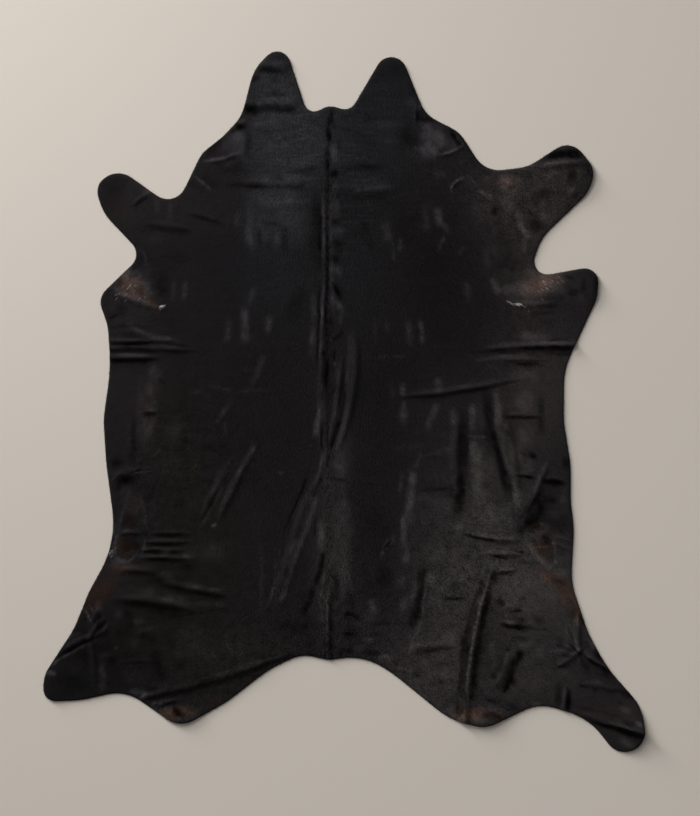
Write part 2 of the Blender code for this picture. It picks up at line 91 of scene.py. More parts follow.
# A fold is a soft ridge along a bowed line, as in the solid.  The bow is how far the middle
# of the line stands off to the left of the straight way from start to end.
# name, start x, start y, end x, end y, bow, width, height, start share, end share
FOLDS = [
    ("left belly, first", -720, 184, -570, 180, 0, 11, 5, 0.6, 0),
    ("left belly, second", -720, 161, -430, 156, 2, 12, 7, 0.7, 0),
    ("left belly, third", -720, 133, -545, 135, 0, 14, 9, 0.8, 0),
    ("left belly, branch", -570, 196, -455, 166, 0, 13, 4, 0, 0),
    ("right belly, first", 695, 170, 400, 159, -3, 15, 8, 0.8, 0),
    ("right belly, second", 610, 129, 380, 127, 0, 12, 6, 0, 0),
    ("right loin", 150, 20, 520, 74, -11, 14, 5, 0, 0),
    ("right back, first", 350, -30, 354, -300, -20, 20, 5, 0, 0),
    ("right back, second", 393, 20, 482, -300, 8, 20, 6, 0, 0),
    ("right back, third", 462, 40, 526, -310, 8, 16, 4, 0, 0),
    ("right belly edge", 615, -165, 525, -350, 8, 16, 4, 0, 0),
    ("right flank, first", 350, -390, 530, -414, -6, 12, 6, 0, 0),
    ("right flank, second", 415, -450, 540, -458, 0, 11, 5, 0, 0),
    ("right rump, long", 448, -475, 359, -960, -17, 23, 12, 0, 0.6),
    ("right rump, short", 512, -735, 452, -870, -8, 24, 8, 0, 0),
    ("right rump, branch", 446, -512, 520, -500, 0, 11, 4, 0, 0),
    ("right thigh wave, first", 469, -616, 538, -616, 3, 14, 3.5, 0, 0),
    ("right thigh wave, second", 455, -666, 580, -668, 0, 14, 4, 0, 0),
    ("right thigh star, up", 704, -744, 703, -620, 5, 13, 6, 0.6, 0),
    ("right thigh star, out", 704, -744, 800, -835, 6, 16, 8, 0.6, 0),
    ("right thigh star, in", 704, -744, 620, -715, 0, 13, 5, 0.6, 0),
    ("right thigh star, down", 704, -744, 630, -795, 4, 12, 4, 0.6, 0),
    ("right foot", 685, -926, 915, -1001, 3, 19, 10, 0.2, 0.8),
    ("right hem bay", 665, -850, 658, -940, 0, 13, 5, 0, 0.7),
    ("right hem", 195, -736, 315, -730, 3, 15, 4, 0, 0),
    ("right tail lens", 215, -525, 205, -675, 5, 20, 5, 0, 0),
    ("left back, long", -66, -198, -208, -640, -16, 21, 8, 0, 0),
    ("left loin, first", -252, -115, -382, -375, -10, 16, 4.5, 0, 0),
    ("left loin, second", -322, -155, -438, -370, -8, 15, 4, 0, 0),
    ("left flank, first", -590, -394, -445, -394, 0, 10, 4, 0, 0),
    ("left flank, second", -605, -418, -460, -418, 0, 11, 5, 0, 0),
    ("left flank, third", -620, -443, -470, -443, 0, 11, 5, 0, 0),
    ("left flank, fourth", -625, -463, -450, -469, 0, 11, 6, 0, 0),
    ("left thigh, upper", -680, -500, -550, -512, 4, 15, 5, 0, 0),
    ("left thigh, middle", -570, -542, -350, -584, 8, 17, 7, 0, 0),
    ("left thigh, lower", -695, -586, -440, -626, 9, 19, 9, 0, 0),
    ("left thigh star, up", -764, -705, -715, -645, 3, 14, 6, 0.6, 0),
    ("left thigh star, out", -764, -705, -860, -758, -4, 16, 7, 0.6, 0.3),
    ("left thigh star, down", -764, -705, -746, -870, 4, 15, 5, 0.6, 0),
    ("left hem", -595, -882, -160, -750, -12, 17, 7, 0.5, 0),
    ("spine, fore", -61, 690, -66, 180, 3, 12, 3.5, 0, 0),
    ("spine, middle", -64, 180, -66, -190, -7, 12, 3.5, 0, 0),
    ("spine, right of it", -5, 160, -50, -160, 6, 13, 4.5, 0, 0),
    ("spine, lens", 34, 220, -30, -170, 24, 15, 5, 0, 0),
    ("spine, hind", -44, -520, -44, -780, 0, 12, 4, 0, 0.5),
    ("left cheek, root", -313, 890, -126, 896, -3, 22, 6, 0.5, 0),
    ("left cheek, middle", -270, 1009, -154, 1013, 0, 18, 4, 0.4, 0.3),
    ("left neck band", -330, 656, -80, 660, 3, 22, 3.5, 0, 0),
    ("right neck band", -20, 644, 180, 642, 3, 26, 3.5, 0, 0),
    ("right foreleg", 575, 700, 730, 718, 7, 18, 6, 0, 0.4),
    ("right armpit", 468, 316, 655, 308, -22, 15, 5, 0, 0),
    ("left armpit", -695, 336, -520, 276, -8, 16, 5, 0, 0),
]

# A swell is a low round rise.
# name, centre x, centre y, length, breadth, turn in degrees, height
SWELLS = [
    ("left armpit pouch", -630, 350, 90, 60, -35, 9),
    ("right armpit pouch", 600, 335, 95, 55, 25, 9),
    ("left flank pouch", -655, -430, 70, 55, 60, 8),
    ("right flank pouch", 595, -435, 80, 60, -55, 9),
    ("left pocket", -658, -218, 55, 28, 0, 7),
    ("left foreleg curl", -740, 640, 120, 90, 60, 5),
    ("right foreleg curl", 735, 680, 110, 90, 60, 6),
    ("right elbow curl", 755, 345, 80, 60, 80, 6),
    ("left hind curl", -900, -850, 130, 90, 40, 6),
    ("right hind curl", 895, -1015, 130, 80, 110, 8),
    ("left rump curl", -490, -960, 120, 60, 0, 5),
    ("right rump curl", 420, -970, 140, 60, 0, 6),
    ("left cheek curl", -205, 1050, 90, 70, 0, 5),
    ("right cheek curl", 145, 1035, 90, 70, 0, 5),
]

# Creases: the same kind of ridge, finer and lower.
CREASES = [
    ("left shoulder crease", -460, 683, -396, 632, 3, 8, 2.5, 0.4, 0),
    ("left neck corner", -420, 722, -310, 750, -6, 10, 3, 0.4, 0),
    ("left neck dart", -340, 816, -286, 846, 2, 14, 4, 0.4, 0),
    ("left shoulder line, first", -485, 572, -360, 538, 2, 10, 2, 0, 0),
    ("left shoulder line, second", -600, 540, -445, 516, 2, 13, 2.5, 0, 0),
    ("left foreleg line", -640, 585, -570, 635, 3, 12, 2.5, 0, 0.4),
    ("right shoulder arc", 316, 628, 360, 674, 8, 8, 2.5, 0, 0),
    ("right shoulder line", 365, 686, 455, 610, -3, 9, 2.5, 0, 0),
    ("right neck corner", 280, 740, 355, 768, -5, 9, 2.5, 0, 0.4),
    ("right neck edge", 312, 822, 352, 766, -4, 9, 3, 0.3, 0),
    ("right cheek crease", 216, 890, 214, 836, 0, 9, 3, 0.3, 0),
    ("right shoulder arc, low", 498, 626, 530, 564, 5, 10, 2, 0, 0),
    ("right armpit arc", 510, 576, 574, 490, -10, 11, 3, 0, 0.2),
    ("left pocket lip", -694, -224, -616, -206, 8, 9, 3, 0, 0),
    ("left pocket line", -626, -206, -570, -198, 1, 7, 2, 0, 0),
    ("left belly notch", -610, -28, -554, -30, 2, 8, 2.5, 0, 0),
    ("left belly arc", -634, -36, -626, -190, -8, 12, 2, 0, 0),
    ("left loin, cross line", -315, 34, -220, 31, 1, 7, 2, 0, 0),
    ("left thigh edge, first", -795, -616, -766, -658, -4, 8, 2.5, 0.3, 0),
    ("left thigh edge, second", -736, -614, -756, -682, -5, 9, 2.5, 0, 0),
    ("left hind line", -670, -784, -550, -778, 4, 12, 2, 0, 0),
    ("left rump line", -574, -910, -490, -890, 2, 9, 2.5, 0.4, 0),
    ("right belly tongue", 504, -216, 574, -226, 3, 9, 3, 0, 0),
    ("right belly corner", 588, -232, 660, -238, 3, 12, 3, 0, 0.2),
    ("right waist line", 470, -37, 595, -42, 1, 10, 2, 0, 0),
    ("right flank line, first", 625, -420, 686, -450, 2, 6, 2, 0, 0.4),
    ("right flank line, second", 626, -400, 688, -424, 2, 6, 2, 0, 0.4),
    ("right thigh curl", 666, -662, 696, -730, -8, 8, 2.5, 0, 0.3),
    ("right rump dash", 295, -582, 350, -586, 1, 10, 2, 0, 0),
    ("right loin sprig", 114, -448, 148, -406, 6, 8, 2, 0, 0),
    ("right hem line", 140, -796, 236, -824, 3, 12, 2, 0, 0),
    ("right rump line", 400, -870, 506, -922, -3, 10, 2.5, 0, 0.3),
    ("right hind line", 700, -842, 820, -866, 5, 12, 2.5, 0, 0.3),
]

# Slow waves of the whole skin: length, heading in degrees, height.
SLOW_WAVES = [(410, 20, 0.45), (290, 75, 0.35), (230, 128, 0.3), (170, 50, 0.2)]

# ---- the coat's light: its own tone with painted sheen and painted shade. Levels are steps of a 0 to 255 scale of displayed light.
BASE_LEVEL = 22.4
LEVELS_IN = (0.0, 22.0, 40.0, 90.0)     # a sum of levels that is one of these
LEVELS_OUT = (11.0, 23.5, 40.5, 66.0)   # is shown as this, and in between in proportion
DISPLAY_TOP = 255.0
DISPLAY_POWER = 2.2
LEVEL_GAIN = 2.36             # albedo for the light of a level
PATCH_CORE = 0.1              # share of a patch's or streak's half width with its full level
STREAK_TAPER = 0.28           # share of a streak's length over which it rises at each end
STREAK_SPREAD = 1.25          # a streak's reach, as a share of its half width
LOCK_LENGTH = 32.0 * MM       # the coat's colours are drawn out along the hair in locks of
LOCK_BREADTH = 6.0 * MM       # this length and breadth,
LOCK_PULL = 2.2 * MM          # by about this much
FINE_LOCKS = (2.3, 0.6)       # finer locks by this factor, and their share of the pull
WANDER = 2.2 * MM             # they wander every way by this much
WANDER_LENGTH = 26.0 * MM     # over this length
RAGGED_NOISES = [(8, 0.35), (21, 0.4)]      # length, share of the level

# Broad parts of the coat, warmer or cooler than the rest and lighter or darker: partly its own tone,
# partly painted sheen, and partly painted light and shade that even out the fall of the lamps across
# the hide.
# name, x, y, half length, half breadth, turn in degrees, level, warmth, share of olive
BROAD_TONE_AND_PAINTED_LIGHT = [
    ("left neck", -170, 800, 260, 250, 90, 13, -0.8, 0),
    ("left neck, low", -200, 580, 170, 150, 90, 11, -0.8, 0),
    ("left cheek", -210, 990, 140, 140, 0, 8, -0.5, 0),
    ("left withers", -200, 400, 260, 200, 90, 2, -0.9, 0),
    ("right neck", 60, 780, 240, 240, 90, 4.5, -1, 0),
    ("right cheek", 140, 970, 160, 160, 0, 1, -0.9, 0),
    ("right withers", 40, 460, 300, 140, 90, 1.5, -0.9, 0),
    ("right side", 270, 380, 340, 180, 90, -4.5, 0.1, 0),
    ("right barrel", 120, 40, 300, 120, 90, -2.6, 0, 0),
    ("left shoulder", -500, 620, 300, 200, 0, 2.6, 0.1, 0),
    ("left foreleg", -680, 620, 160, 160, 0, 3, 0.2, 0),
    ("right shoulder", 520, 620, 260, 220, 0, 9.5, 0.7, 0.1),
    ("right foreleg", 680, 660, 160, 160, 0, 4, 0.3, 0.2),
    ("right armpit", 560, 420, 200, 200, 0, 7, 0.8, 0.2),
    ("right waist", 600, 60, 400, 240, 90, 10.5, 0.7, 0),
    ("right loin", 400, -100, 300, 300, 0, 4, 0.3, 0.2),
    ("right hip", 420, -420, 340, 340, 0, 15, 0.1, 0.45),
    ("right hip, fore", 320, -250, 130, 110, 0, -4.5, 0, 0),
    ("right croup", 220, -500, 140, 110, 90, 3, 0, 0.2),
    ("right thigh", 630, -620, 340, 300, 0, 14, 0.4, 0.2),
    ("right rump", 320, -780, 340, 300, 0, 16, 0.4, 0.4),
    ("right thigh, inner", 440, -700, 170, 120, 90, -8, 0, 0),
    ("right hem", 600, -860, 200, 120, 0, 8, 0.3, 0.3),
    ("right hind foot", 820, -940, 200, 180, 0, 7, 0.7, 0),
    ("loin crest", -5, -140, 180, 46, 90, 6.5, 0, 0),
    ("tail root", -40, -450, 400, 90, 90, 11, 0.1, 0.5),
    ("left waist", -640, 40, 340, 160, 90, 2.5, 0.3, 0),
    ("left elbow", -660, 280, 160, 140, 0, 3, 0.2, 0),
    ("left side", -280, 0, 360, 220, 90, -1.5, 0.1, 0),
    ("left flank", -505, -100, 320, 120, 90, -0.5, 0, 0.9),
    ("left loin", -420, -420, 300, 260, 90, -0.5, 0.1, 0.6),
    ("left hip rim", -660, -490, 150, 90, 60, 5, 0.2, 0),
    ("left thigh", -520, -620, 260, 260, 0, -2, 0.2, 0.8),
    ("left hind leg", -740, -780, 260, 200, 0, -8, 0, 0.4),
    ("left rump", -340, -800, 280, 180, 20, 2, 0.2, 0.9),
]

# Patches that are lighter or darker than what they lie on: the hair's own tone, painted sheen and
# glints, and painted shade and highlights beside the folds.
# x, y, half length, half breadth, turn in degrees, level
TONE_AND_PAINTED_LIGHT_PATCHES = [
    # left neck and cheek
    (-205, 1038, 36, 12, 0, -4), (-268, 973, 26, 14, 20, -12), (-208, 970, 28, 17, 0, -6),
    (-278, 879, 34, 26, 0, -22), (-174, 880, 40, 19, -4, -16), (-313, 829, 29, 14, -14, -30),
    (-322, 792, 32, 34, 0, 15), (-322, 762, 36, 20, 12, 8), (-286, 842, 12, 8, 0, 12),
    (-335, 706, 65, 36, 0, -6), (-210, 614, 95, 28, 0, 5), (-225, 573, 55, 13, 0, -8),
    (-215, 525, 96, 82, 0, 5), (-286, 502, 54, 19, 94, 14), (-230, 468, 15, 16, 0, -8),
    (-203, 494, 28, 14, 90, 8), (-322, 546, 36, 15, 90, 9), (-348, 548, 18, 9, 90, 6),
    (-210, 530, 46, 60, 0, -9), (-200, 618, 60, 16, 0, -8), (-130, 715, 60, 16, 0, 6),
    (-346, 714, 34, 20, 0, 8), (-354, 776, 18, 40, -30, 8), (-194, 1008, 30, 20, 0, 9),
    (-286, 780, 16, 60, 0, -6), (-284, 570, 16, 50, 0, 6), (-268, 466, 20, 20, 0, 7),
    # left shoulder and foreleg
    (-690, 650, 60, 50, 0, -3), (-588, 632, 26, 24, 30, 8), (-607, 432, 26, 11, 98, -7),
    (-500, 435, 70, 16, -4, -3), (-570, 490, 50, 30, 0, 3),
    # right neck and cheek
    (203, 942, 28, 16, 110, -6), (202, 900, 28, 22, 0, 6), (224, 886, 16, 8, 65, 12),
    (184, 794, 46, 46, 0, -8), (264, 792, 62, 54, 95, 20), (312, 778, 48, 34, -28, 14),
    (213, 764, 7, 5, 30, 16), (282, 684, 28, 22, 0, 7), (348, 722, 15, 13, 0, 8),
    (67, 498, 11, 10, 0, 10), (185, 510, 44, 50, 0, -3), (254, 754, 46, 30, -20, 14),
    (240, 830, 24, 20, 0, 10), (310, 778, 30, 30, -40, -9), (244, 750, 50, 40, 0, 6),
    (338, 786, 16, 16, 0, 6), (120, 830, 90, 20, 0, 5),
    # right shoulder and foreleg
    (426, 670, 42, 20, 8, 5), (494, 667, 46, 26, -4, 20), (480, 640, 26, 18, -50, 12),
    (488, 596, 26, 32, 0, 6), (574, 532, 38, 28, -18, -14), (457, 577, 20, 15, 30, -9),
    (624, 686, 26, 19, 35, 12), (683, 679, 22, 26, 0, -15), (704, 688, 24, 9, 85, 7),
    (729, 698, 26, 12, 95, -15), (682, 638, 17, 11, 25, 10), (692, 624, 12, 8, 30, -8),
    (593, 604, 18, 22, 0, 8), (616, 540, 20, 10, 45, 12), (490, 414, 42, 48, 0, -6),
    (428, 426, 20, 26, 0, 5), (470, 706, 46, 30, -20, 6), (400, 570, 34, 60, 0, 4),
    (476, 490, 30, 60, 10, -5), (600, 684, 64, 26, 16, 5), (574, 606, 40, 30, 0, -4),
    (490, 606, 20, 44, 20, 6), (436, 440, 30, 54, -10, 4), (646, 706, 64, 28, 10, 5),
    (600, 622, 44, 34, 0, -8), (444, 574, 18, 24, 0, -9), (474, 670, 36, 24, 0, 8),
    (504, 666, 20, 24, 0, -6), (594, 550, 36, 26, 40, 9), (516, 520, 24, 80, 0, -4),
    (464, 654, 16, 30, 30, 6), (436, 576, 12, 24, 0, 6), (440, 430, 18, 30, 0, -5),
    # spine, from the neck to the waist
    (-32, 688, 20, 20, 0, -24), (-26, 645, 26, 16, 90, 10), (-50, 635, 13, 7, 90, -16),
    (-19, 620, 8, 7, 0, -12), (-25, 543, 16, 9, 0, -12), (-22, 513, 26, 25, 0, 13),
    (-50, 493, 13, 7, 90, -20), (-22, 473, 28, 17, 0, -10), (-32, 434, 26, 15, -35, -17),
    (-18, 394, 30, 20, -60, 12), (-23, 338, 38, 12, -58, -26), (-16, 289, 38, 15, -55, 13),
    (-38, 316, 22, 10, -60, 7), (-39, 240, 32, 9, 88, -7), (-12, 254, 28, 12, 75, 11),
    (-42, 186, 5, 4, 90, 34), (-28, 116, 5, 4, 90, 30), (-63, 147, 13, 15, 0, -18),
    (-30, 144, 24, 9, 92, -13), (-18, 450, 14, 36, 0, -5), (-26, 774, 26, 30, 0, -9),
    (0, 698, 30, 14, 0, -9), (-32, 830, 14, 16, 0, -7), (-40, 628, 24, 24, 0, 7),
    (-8, 510, 20, 20, 0, 6), (-22, 94, 16, 54, 0, 4), (2, 54, 12, 5, 10, -22),
    # left armpit and elbow
    (-545, 352, 50, 32, 80, -9), (-630, 346, 110, 64, -38, 26), (-654, 328, 50, 24, -24, 7),
    (-586, 300, 60, 24, -38, 10), (-710, 134, 60, 60, 0, -5), (-584, 302, 36, 22, -30, -11),
    (-674, 362, 28, 30, 0, -10), (-586, 400, 20, 30, 0, 5), (-666, 280, 30, 30, 0, -5),
    (-624, 203, 70, 15, -2, -8),
    # left ribs
    (-145, 295, 75, 40, 70, -6), (-97, 200, 46, 13, 90, 6),
    # right ribs
    (176, 268, 24, 18, 0, 3),
    # right armpit and elbow
    (486, 394, 18, 20, 0, 6), (686, 330, 29, 17, 0, -14), (716, 350, 30, 16, 80, -11),
    (670, 376, 28, 9, -18, -12), (754, 354, 40, 12, 88, -16), (600, 274, 55, 26, 8, -9),
    (588, 360, 140, 80, 20, 15), (614, 352, 64, 34, 24, 15), (706, 334, 50, 60, 0, 5),
    (526, 312, 24, 16, 0, -7), (566, 330, 26, 20, 0, 4), (636, 334, 44, 22, 10, 12),
    (556, 386, 24, 30, 0, 8), (504, 358, 26, 20, 0, -7), (606, 240, 30, 18, 0, -5),
    (600, 280, 50, 12, 0, 8), (580, 324, 34, 16, 0, 6), (664, 330, 16, 26, 0, 6),
    (720, 330, 16, 24, 0, -6),
    # left back
    (-192, -213, 13, 7, 5, 14), (-274, -138, 14, 18, 0, 8), (-178, -126, 4, 3, 0, 12),
    (-102, -126, 4, 3, 0, 10), (-300, 100, 30, 10, 4, 3),
    # left waist
    (-586, 36, 18, 30, 0, 11), (-568, 86, 24, 32, 0, 7), (-582, -6, 34, 30, 0, 6),
    (-590, -84, 20, 46, 0, 11), (-506, -80, 58, 60, 0, 4), (-524, -190, 60, 50, 0, 3),
    (-446, 32, 28, 10, 8, 6), (-586, -36, 26, 10, 0, -22), (-682, -178, 28, 24, 30, -13),
    (-660, -228, 40, 22, -6, -17), (-676, -250, 12, 20, 0, -14), (-614, -202, 15, 6, 20, -24),
    (-650, -268, 26, 18, 0, 8), (-584, -280, 16, 40, 0, -7), (-476, -114, 9, 16, 0, -8),
    (-584, -40, 34, 140, 0, 4), (-480, -60, 12, 160, 0, -3), (-570, 80, 30, 80, 0, 5),
    (-400, -244, 16, 20, -50, -6), (-666, -206, 34, 14, 0, -8),
    # right back
    (176, -36, 20, 46, 0, 13), (142, 34, 14, 44, 0, 6), (324, -42, 15, 38, 0, 18),
    (203, -224, 22, 40, 4, 13), (198, -280, 22, 50, 0, 7), (286, -220, 66, 44, 0, 5),
    (202, -240, 12, 34, 0, 9), (176, -6, 12, 20, 0, 8),
    # right waist
    (383, -34, 14, 42, 0, 14), (398, -170, 28, 66, 0, 9), (410, -254, 38, 74, -4, 8),
    (428, -170, 20, 64, 10, 6), (536, 80, 50, 32, 0, 9), (540, 4, 36, 46, 0, 13),
    (540, -100, 36, 50, 0, 12), (516, -156, 30, 50, 14, 9), (550, -186, 24, 26, 0, 8),
    (520, -286, 16, 46, 0, 12), (564, -158, 18, 13, -10, -24), (552, -223, 16, 6, -8, -22),
    (626, -240, 48, 17, -6, -24), (664, -184, 20, 30, 0, -12), (616, -292, 30, 16, -14, -10),
    (654, -290, 16, 16, 0, 6), (406, -220, 50, 130, 4, 4), (386, -130, 15, 36, 0, 14),
    (478, -44, 12, 30, 0, -8), (548, -100, 22, 20, 0, -6), (592, -224, 12, 24, -20, -8),
    (424, -250, 24, 40, 0, -8), (660, -280, 20, 80, 0, 5), (378, -140, 12, 36, 0, 9),
    (418, -160, 14, 26, 0, -8),
    # spine, from the waist to the tail
    (-24, -20, 14, 70, 0, 8), (-17, -64, 8, 22, -18, -14), (-40, -124, 8, 18, -6, -14),
    (-16, -186, 28, 50, 0, 10), (-70, -233, 10, 9, 0, -22), (-54, -256, 12, 8, 0, -7),
    (-2, -360, 32, 130, 0, 8), (-4, -520, 30, 90, 0, 8), (-70, -396, 15, 64, 0, 19),
    (-65, -462, 13, 15, 0, -26), (-42, -406, 7, 9, 0, -14), (-40, -432, 6, 8, 0, -12),
    (-36, -520, 12, 14, 0, -12), (-46, -670, 8, 12, 0, -14), (12, -696, 30, 11, -4, -20),
    (6, -744, 30, 14, 0, -14), (10, -600, 30, 20, 0, -7), (-24, -536, 16, 40, 0, -12),
    (-20, -634, 14, 20, 0, -8), (-5, -390, 20, 40, 0, -5), (-16, -176, 10, 20, 0, -9),
    (-26, -570, 24, 40, 0, -9),
    # left croup
    (-368, -446, 60, 44, 0, 4),
    # left hip and flank
    (-392, -370, 12, 8, 10, 22), (-430, -440, 120, 60, 0, 4), (-646, -356, 36, 34, 0, -9),
    (-650, -406, 40, 15, 0, -6), (-622, -426, 12, 14, 0, -6), (-670, -460, 18, 12, -50, -6),
    (-674, -488, 56, 22, 6, 6), (-536, -450, 28, 9, 0, 15), (-464, -458, 28, 14, 0, 13),
    (-474, -492, 44, 20, 0, -11), (-530, -516, 34, 20, -16, 8), (-480, -528, 34, 14, 0, -5),
    (-450, -555, 40, 13, -4, 12), (-386, -560, 36, 9, 0, 10), (-742, -566, 84, 50, 60, 3),
    (-650, -424, 42, 28, 0, -8), (-550, -434, 70, 44, 0, -4), (-636, -310, 40, 60, 0, 4),
    (-654, -386, 32, 9, 0, 8), (-570, -440, 60, 34, 0, 2), (-670, -468, 40, 22, 20, 9),
    (-546, -442, 40, 20, 0, 5), (-698, -408, 16, 16, 0, -12), (-630, -546, 60, 24, -10, -6),
    (-500, -534, 30, 12, -10, -7), (-636, -450, 26, 16, 20, 10), (-450, -460, 24, 30, 0, -5),
    # right croup
    (166, -534, 18, 20, 0, 14), (174, -462, 10, 30, 0, 8), (186, -460, 14, 46, 0, 12),
    (122, -444, 10, 10, 0, -8), (95, -380, 65, 100, 0, -3), (120, -520, 40, 50, 0, -6),
    (280, -306, 64, 44, 0, 8), (300, -460, 80, 46, 0, 6), (290, -550, 36, 36, 0, 8),
    (316, -434, 20, 12, 0, -7), (200, -330, 20, 80, -6, 6), (234, -300, 24, 70, -6, 4),
    (254, -532, 26, 24, 0, 12), (240, -310, 16, 26, 0, -9), (280, -314, 30, 20, 0, -5),
    (40, -540, 24, 30, 0, 7), (174, -534, 10, 40, 0, 8), (256, -526, 40, 30, 0, 9),
    # right hip and flank
    (420, -334, 74, 54, 0, 12), (340, -370, 26, 18, 20, 10), (490, -330, 26, 50, 0, 8),
    (574, -324, 96, 56, 66, -20), (552, -370, 30, 36, 0, -14), (616, -350, 26, 26, 0, -6),
    (582, -426, 36, 44, 0, -6), (606, -408, 20, 24, 0, -18), (626, -422, 6, 7, 0, 26),
    (346, -510, 70, 42, 0, 5), (380, -436, 24, 9, 0, -8), (376, -530, 9, 8, 40, -16),
    (450, -526, 19, 32, -16, -20), (474, -510, 46, 11, -2, -13), (524, -544, 66, 44, 0, 7),
    (634, -536, 36, 17, -6, -9), (644, -508, 44, 18, 0, 10), (640, -366, 46, 44, 0, -8),
    (658, -566, 80, 44, -60, 4), (606, -530, 50, 26, -30, 5), (586, -436, 36, 50, 0, 3),
    (566, -370, 46, 28, 0, -8), (626, -344, 26, 40, 20, 5), (526, -384, 24, 30, 30, -10),
    (558, -410, 20, 16, -30, -9), (590, -434, 34, 44, -20, -7), (650, -550, 66, 34, -50, -6),
    (406, -316, 30, 20, 0, -7), (506, -326, 16, 50, 0, -8), (460, -446, 26, 7, 0, -8),
    (640, -470, 20, 24, 0, 8),
    # left rump and hem
    (-155, -670, 80, 22, 2, -6), (-120, -674, 20, 18, 0, -9), (-466, -720, 74, 90, 0, 7),
    (-516, -706, 24, 36, 0, -6), (-496, -786, 32, 26, 0, -5), (-340, -730, 90, 50, 0, 4),
    (-400, -764, 40, 32, 0, 4), (-498, -934, 96, 36, 4, 15), (-500, -928, 30, 13, -50, -26),
    (-498, -936, 40, 16, 0, -9), (-470, -730, 40, 40, 0, -5), (-496, -930, 40, 20, 0, -8),
    (-470, -780, 40, 30, 0, -4),
    # left thigh and hind leg
    (-736, -614, 22, 32, 0, 10), (-786, -686, 24, 12, -22, -8), (-676, -634, 24, 20, 0, 12),
    (-666, -690, 36, 30, 20, -4), (-720, -734, 32, 13, 0, -4), (-694, -772, 24, 22, 0, -7),
    (-682, -735, 13, 8, -8, 20), (-668, -778, 7, 4, 45, 12), (-638, -816, 7, 4, 40, 14),
    (-728, -820, 24, 74, 0, 16), (-716, -758, 40, 14, 0, 8), (-620, -656, 40, 13, 0, 9),
    (-586, -678, 44, 13, 10, 8), (-628, -720, 32, 28, 0, 7), (-634, -820, 60, 30, 0, 8),
    (-620, -866, 50, 14, 0, 12), (-578, -860, 34, 12, 0, -10), (-604, -880, 20, 10, 24, 14),
    (-804, -796, 34, 24, 30, 5), (-786, -850, 36, 26, 0, -4), (-778, -760, 24, 26, 0, -5),
    (-880, -810, 24, 13, -16, 30), (-864, -778, 22, 9, 46, 20), (-856, -860, 26, 20, 0, 3),
    (-570, -900, 10, 6, 0, 24), (-552, -903, 8, 5, 0, 18), (-820, -836, 80, 40, 0, -3),
    (-554, -920, 40, 24, 0, 9), (-660, -630, 24, 20, 0, -6), (-744, -740, 12, 40, 0, 5),
    (-726, -830, 12, 30, 0, -7),
    # right rump and hem
    (76, -748, 34, 16, 0, -12), (84, -612, 19, 36, 8, 17), (178, -604, 22, 36, -20, 11),
    (70, -714, 24, 14, 0, 12), (284, -604, 20, 20, 0, 9), (306, -704, 34, 34, 0, 8),
    (464, -598, 24, 22, 0, -11), (489, -742, 12, 10, 0, -18), (448, -824, 15, 18, -20, -14),
    (502, -836, 18, 22, 0, -16), (444, -892, 38, 11, -14, -9), (500, -912, 26, 15, -20, -14),
    (286, -836, 20, 14, 0, -10), (304, -814, 30, 30, 0, 7), (218, -816, 36, 9, -24, -11),
    (296, -784, 20, 14, 0, -6), (380, -938, 100, 38, 0, 9), (470, -924, 50, 26, 0, 6),
    (454, -938, 30, 11, -32, -14), (370, -930, 120, 50, 0, 6), (220, -850, 100, 50, -20, 4),
    (60, -650, 55, 90, 0, 6), (260, -600, 16, 26, 0, 10), (344, -930, 26, 26, 0, -13),
    (434, -938, 30, 16, 0, -12), (440, -730, 22, 50, 0, 8),
    (350, -924, 24, 24, 0, -6), (420, -936, 26, 18, 0, -7), (134, -766, 30, 20, -20, 7),
    (46, -740, 40, 20, 0, 5),
    # right thigh and hind leg
    (536, -588, 16, 10, 0, -9), (534, -654, 28, 18, 0, -13), (584, -656, 32, 22, 0, -8),
    (526, -708, 30, 10, 0, -9), (544, -726, 34, 10, 12, 10), (578, -714, 20, 10, 0, -7),
    (586, -786, 20, 7, 0, -7), (584, -752, 36, 26, 0, 5), (576, -906, 18, 14, 0, 12),
    (606, -574, 44, 32, -20, 6), (680, -620, 24, 44, 18, -5), (646, -720, 30, 24, 0, -8),
    (634, -744, 26, 14, 0, 8), (666, -759, 24, 9, -4, -20), (656, -794, 30, 8, -6, -11),
    (722, -790, 24, 14, -60, -12), (726, -722, 10, 6, 30, -16), (762, -760, 28, 15, -50, -20),
    (712, -652, 26, 9, -60, -18), (744, -726, 20, 14, -50, 8), (718, -853, 22, 8, -18, -12),
    (752, -860, 12, 12, 0, -12), (756, -834, 34, 16, 0, 6), (846, -876, 36, 15, -32, -14),
    (824, -902, 18, 9, 30, -6), (840, -920, 28, 14, -20, 10), (796, -942, 64, 16, -10, -6),
    (734, -926, 50, 14, -12, -7), (884, -964, 19, 11, -36, 26), (844, -1022, 44, 17, -24, 9),
    (660, -816, 44, 24, 0, 3), (720, -600, 44, 80, 24, 8), (700, -640, 34, 30, 40, -6),
    (854, -962, 30, 12, -14, -10), (886, -1034, 20, 20, 0, -10), (526, -666, 30, 16, 0, -8),
    (840, -960, 24, 12, -14, -8), (884, -1040, 18, 16, 0, -8), (694, -680, 10, 34, 0, -8),
    (656, -736, 20, 12, 30, 9), (538, -676, 26, 26, 0, -6),
]
